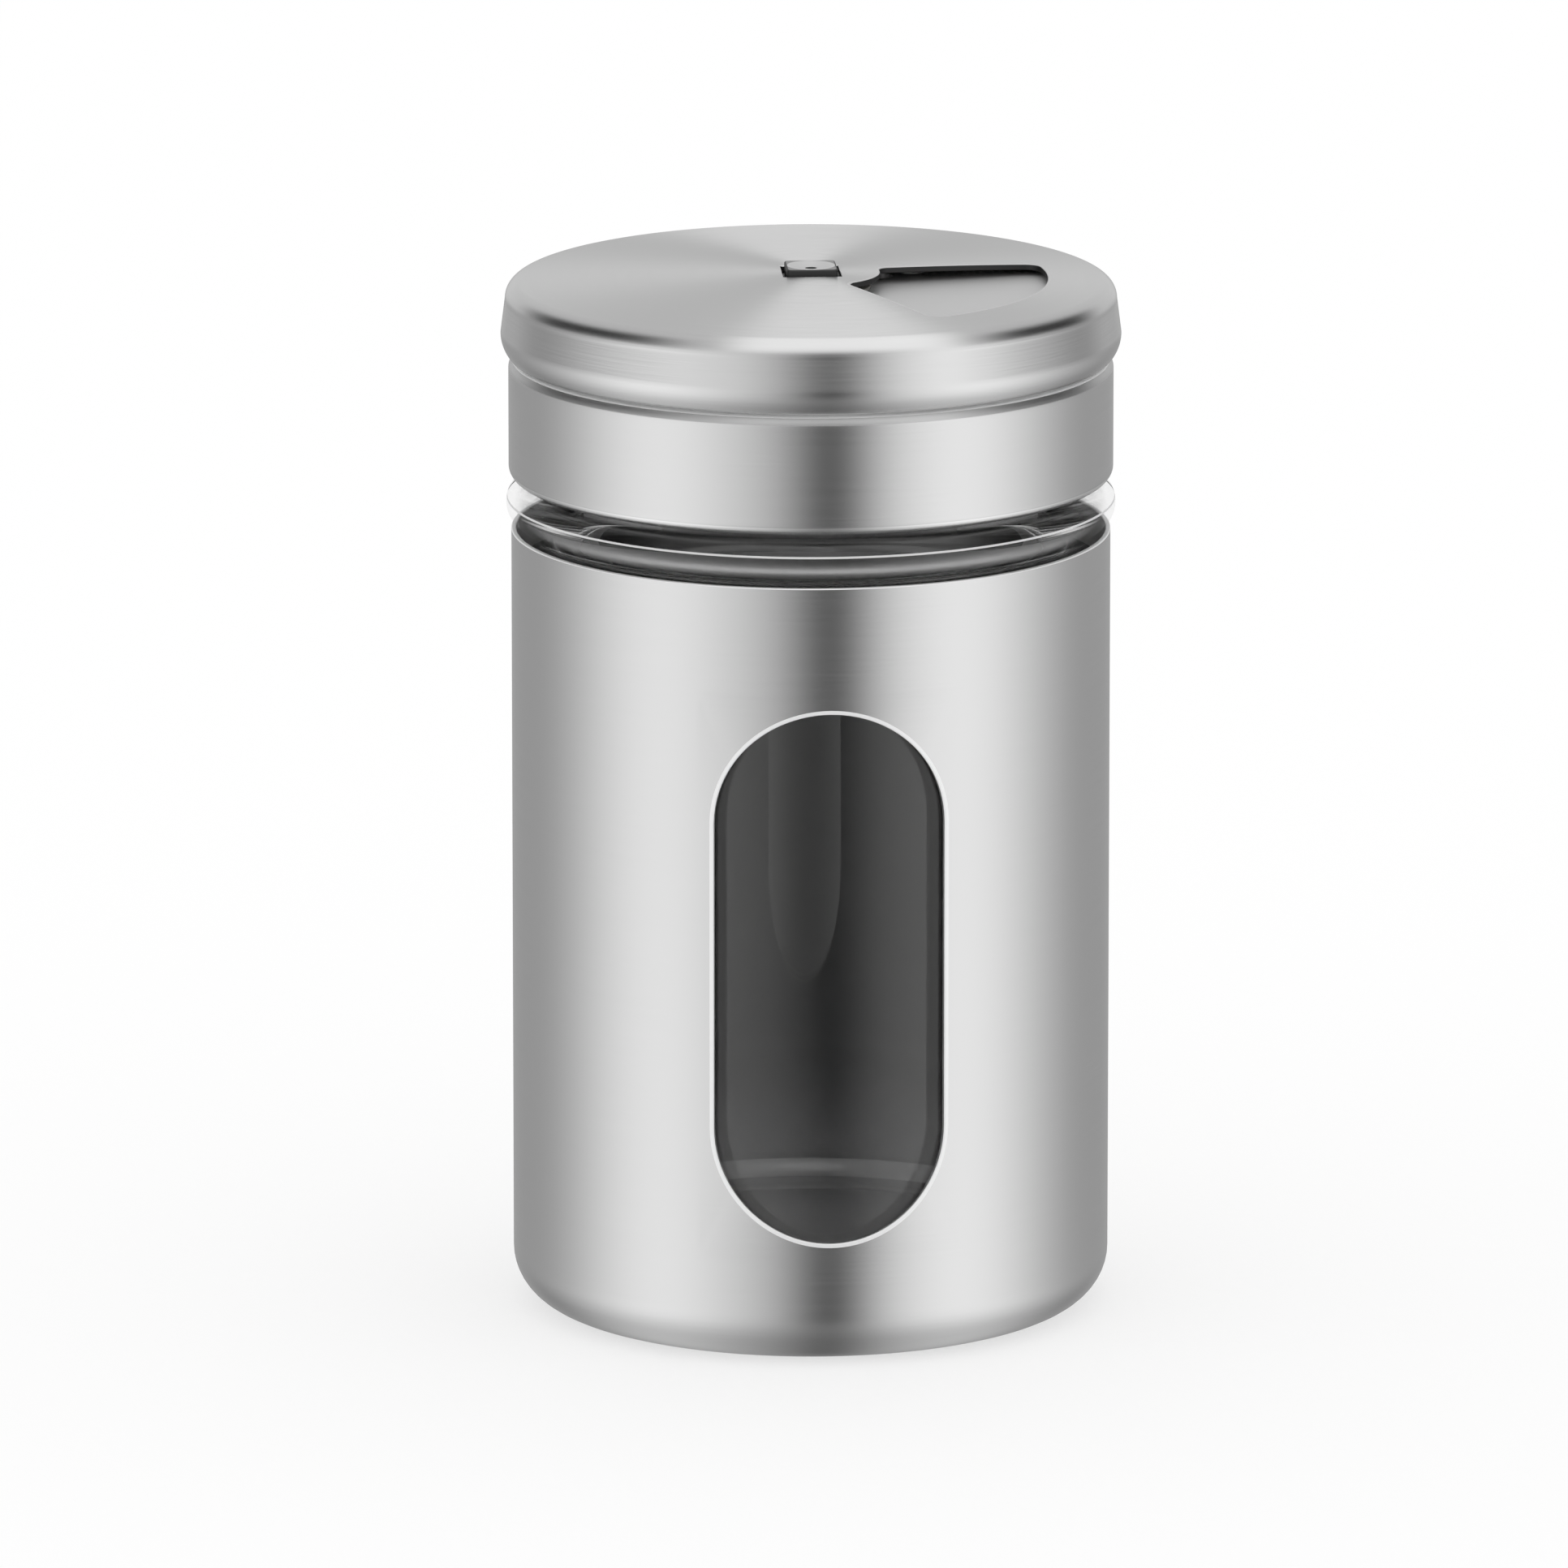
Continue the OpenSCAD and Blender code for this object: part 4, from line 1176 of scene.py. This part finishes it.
def studio_world(studio):
    """Plain white for the camera, through glass and for matt surfaces, and soft boxes for gloss.

    The gloss pattern is laid out by the facet that mirrors a direction r into the picture's camera,
    which looks along d. Its normal is (r - d) / |r - d|, with a bearing round the shaker from the
    camera's side and a rise, the sine of its angle above the horizon.
    Upright facets see two wide boxes left and right and a narrow dark flag between them. Facets that
    face up see a bright wedge to the front and one to the back, with dark between them, and level ones
    see the plain back wall. Near the direction d itself, where |r - d| is small, all is plain, over a
    wider round for facets that face down or level than for those that face up.
    """
    # Middle and half width of each light or dark place, in degrees of bearing, and how steep its sides are
    left_box, right_box, narrow_flag = (-31.0, 22.0), (31.5, 22.0), (3.6, 8.0)
    front_wedge, rear_wedge = (6.5, 22.5, 8.0), (-6.0, 21.0, 8.0)
    left_dark, right_dark = (-47.0, 21.0, 4.0), (51.0, 16.0, 4.0)
    # Rises between which one look gives way to the next
    tilts_down, tilts_up, hangs = (-0.03, -0.28), (0.06, 0.14), (-0.55, -0.05)
    wedge_starts, lies_level, faces_up = (0.20, 0.40), (0.990, 1.0005), (0.0, 0.5)
    dark_starts, dark_ends = (0.12, 0.25), (0.60, 0.80)
    # Lengths |r - d| between which the plain round ends, for facets that face down and up
    wide_round, small_round = (0.25, 0.75), (0.05, 0.35)
    # The flag is that much weaker on facets that tilt up, and that many times more on those that tilt down
    weaker, times_down = 0.20, 2.0
    # Share of the light that is left to facets that hang over
    hanging = 0.55

    world = bpy.data.worlds.new("soft studio")
    world.use_nodes = True
    bpy.context.scene.world = world
    tree = world.node_tree
    tree.nodes.clear()
    a, e = studio.azimuth, studio.elevation
    look = (-math.sin(a) * math.cos(e), math.cos(a) * math.cos(e), -math.sin(e))
    way = put(tree, "ShaderNodeTexCoord").outputs["Generated"]
    apart = vector_calc(tree, "SUBTRACT", way, look)
    facet = vector_calc(tree, "NORMALIZE", apart)
    span = put(tree, "ShaderNodeVectorMath", {0: apart}, operation="LENGTH").outputs["Value"]
    split = put(tree, "ShaderNodeSeparateXYZ", {0: facet}).outputs
    rise = split["Z"]

    def turned_by(x_share, y_share):
        """The facet's reach along one level direction."""
        return calc(tree, "MULTIPLY_ADD", split["X"], x_share, calc(tree, "MULTIPLY", split["Y"], y_share))

    def bearing_from(front):
        """Bearing in degrees, counted from this direction."""
        return calc(tree, "MULTIPLY", calc(tree, "ARCTAN2", right, front), 180 / math.pi)

    def between(factor, low, high):
        """Low where the factor is 0, high where it is 1."""
        return put(tree, "ShaderNodeMix", {"Factor": factor, "A": low, "B": high}).outputs[0]

    def rises(limits):
        """0 to 1 as the facet's rise goes from one limit to the other."""
        return smooth(tree, rise, *limits)

    def both(*places):
        """Sum of two lobes, each given as a value and where on it the lobe lies."""
        return calc(tree, "ADD", *(lobe(tree, value, *where) for value, where in places))

    right = turned_by(math.cos(a), math.sin(a))
    front = turned_by(math.sin(a), -math.cos(a))
    bearing, rear = bearing_from(front), bearing_from(calc(tree, "MULTIPLY", front, -1.0))

    boxes = both((bearing, left_box), (bearing, right_box))
    level = calc(tree, "MULTIPLY_ADD", boxes, studio.box_light, studio.side_light)
    slant = calc(tree, "MULTIPLY_ADD", rises(tilts_down), times_down, rises(tilts_up))
    depth = calc(tree, "MULTIPLY_ADD", slant, weaker * studio.flag, -studio.flag)
    flag = calc(tree, "MULTIPLY_ADD", lobe(tree, bearing, *narrow_flag), depth, 1.0)
    below = calc(tree, "MULTIPLY_ADD", rises(hangs), 1.0 - hanging, hanging)
    upright = calc(tree, "MULTIPLY", calc(tree, "MULTIPLY", level, flag), below)

    in_wedge = between(rises(lies_level), studio.wedge_light, studio.wall_light)
    in_wedge = between(rises(wedge_starts), upright, in_wedge)
    dark = both((bearing, left_dark), (bearing, right_dark))
    beside = between(dark, studio.wall_light, studio.dark_light)
    beside = between(rises(dark_ends), beside, studio.wall_light)
    beside = between(rises(dark_starts), upright, beside)
    pattern = between(both((bearing, front_wedge), (rear, rear_wedge)), beside, in_wedge)
    away = between(rises(faces_up), smooth(tree, span, *wide_round), smooth(tree, span, *small_round))
    pattern = between(away, studio.side_light, pattern)
    path = put(tree, "ShaderNodeLightPath").outputs
    gloss = between(path["Is Glossy Ray"], 1.0, between(straight_through(tree, path), pattern, 1.0))
    light = put(tree, "ShaderNodeBackground", {"Color": (1, 1, 1, 1), "Strength": gloss})
    put(tree, "ShaderNodeOutputWorld", {"Surface": light.outputs[0]})
    world.cycles.sampling_method = "NONE"


def pale_floor(studio):
    """Wide white floor that keeps the shaker's soft shadow and lets glossy rays through to the studio."""
    half = 3.0
    corners = [(-half, -half, 0), (half, -half, 0), (half, half, 0), (-half, half, 0)]
    mesh = bpy.data.meshes.new("pale_floor")
    mesh.from_pydata(corners, [], [(0, 1, 2, 3)])
    add_object("pale_floor", mesh)
    material, tree = new_material("pale floor")
    white = studio.floor_white
    matt = put(tree, "ShaderNodeBsdfDiffuse", {"Color": (white, white, white, 1.0)})
    lift = put(tree, "ShaderNodeEmission", {"Color": (1, 1, 1, 1), "Strength": 1.0 - white})
    lit = put(tree, "ShaderNodeAddShader", {0: matt.outputs[0], 1: lift.outputs[0]})
    plain_white = put(tree, "ShaderNodeEmission", {"Color": (1, 1, 1, 1), "Strength": 1.0})
    clear = put(tree, "ShaderNodeBsdfTransparent")
    path = put(tree, "ShaderNodeLightPath").outputs
    through = straight_through(tree, path)
    seen = calc(tree, "MAXIMUM", path["Is Camera Ray"], through)
    seen = calc(tree, "MULTIPLY", seen, 1.0 - studio.shadow)
    paler = put(tree, "ShaderNodeMixShader", {0: seen, 1: lit.outputs[0], 2: plain_white.outputs[0]})
    mirrored = calc(tree, "SUBTRACT", path["Is Glossy Ray"], through, clamp=True)
    mix = put(tree, "ShaderNodeMixShader", {0: mirrored, 1: paler.outputs[0], 2: clear.outputs[0]})
    put(tree, "ShaderNodeOutputMaterial", {"Surface": mix.outputs[0]})
    mesh.materials.append(material)


def camera_for(studio):
    """Camera at the picture's angle.

    Its lens gives the scale at the shaker's axis, and its aim puts the axis in its column.
    """
    a, e = studio.azimuth, studio.elevation
    back = Vector((math.sin(a) * math.cos(e), -math.cos(a) * math.cos(e), math.sin(e)))
    right = Vector((math.cos(a), math.sin(a), 0.0))
    up = back.cross(right)
    pixel = MM / studio.picture_scale
    middle = Vector((0.0, 0.0, (CAD_BOX[0][2] + CAD_BOX[1][2]) / 2))
    half = studio.picture_size / 2
    aim = middle - right * (studio.axis_x - half) * pixel + up * (studio.middle_y - half) * pixel
    data = bpy.data.cameras.new("picture camera")
    data.sensor_width = 36.0
    data.lens = data.sensor_width * studio.distance / (pixel * studio.picture_size)
    data.clip_start, data.clip_end = 0.01, 100.0
    camera = add_object("picture camera", data)
    camera.location = aim + back * studio.distance
    camera.rotation_euler = back.to_track_quat("Z", "Y").to_euler()
    bpy.context.scene.camera = camera


class SHAKER_OT_stage(Operator):
    """Set up the pale floor, the soft studio and the camera"""
    bl_idname = "shaker.stage"
    bl_label = "Stage"

    def execute(self, context):
        studio = context.scene.shaker_studio
        context.scene.view_settings.view_transform = "Standard"
        pale_floor(studio)
        studio_world(studio)
        camera_for(studio)
        return {"FINISHED"}


OPERATORS = (SHAKER_OT_stage, SHAKER_OT_jar, SHAKER_OT_sleeve, SHAKER_OT_insert, SHAKER_OT_ring,
             SHAKER_OT_washers, SHAKER_OT_stud, SHAKER_OT_cap)


class SHAKER_PT_pieces(Panel):
    """The shaker's pieces and their sizes"""
    bl_idname = "SHAKER_PT_pieces"
    bl_label = "Spice Shaker"
    bl_space_type = "VIEW_3D"
    bl_region_type = "UI"
    bl_category = "Shaker"

    def draw(self, context):
        column = self.layout.column()
        for operator in OPERATORS:
            column.operator(operator.bl_idname)
        for name, group in PROPERTY_GROUPS.items():
            box = self.layout.box()
            box.label(text=name.replace("_", " "))
            for key in group.__annotations__:
                box.prop(getattr(context.scene, name), key)


def register():
    """Registers the classes and gives the scene their sizes."""
    for group in PROPERTY_GROUPS.values():
        bpy.utils.register_class(group)
    for name, group in PROPERTY_GROUPS.items():
        setattr(bpy.types.Scene, name, PointerProperty(type=group))
    for operator in OPERATORS:
        bpy.utils.register_class(operator)
    bpy.utils.register_class(SHAKER_PT_pieces)


def unregister():
    """Takes away what register added."""
    bpy.utils.unregister_class(SHAKER_PT_pieces)
    for operator in reversed(OPERATORS):
        bpy.utils.unregister_class(operator)
    for name, group in PROPERTY_GROUPS.items():
        delattr(bpy.types.Scene, name)
        bpy.utils.unregister_class(group)


def main():
    register()
    bpy.ops.shaker.stage()
    bpy.ops.shaker.jar()
    bpy.ops.shaker.sleeve()
    bpy.ops.shaker.insert()
    bpy.ops.shaker.ring()
    bpy.ops.shaker.washers()
    bpy.ops.shaker.stud()
    bpy.ops.shaker.cap()


if __name__ == "__main__":
    main()
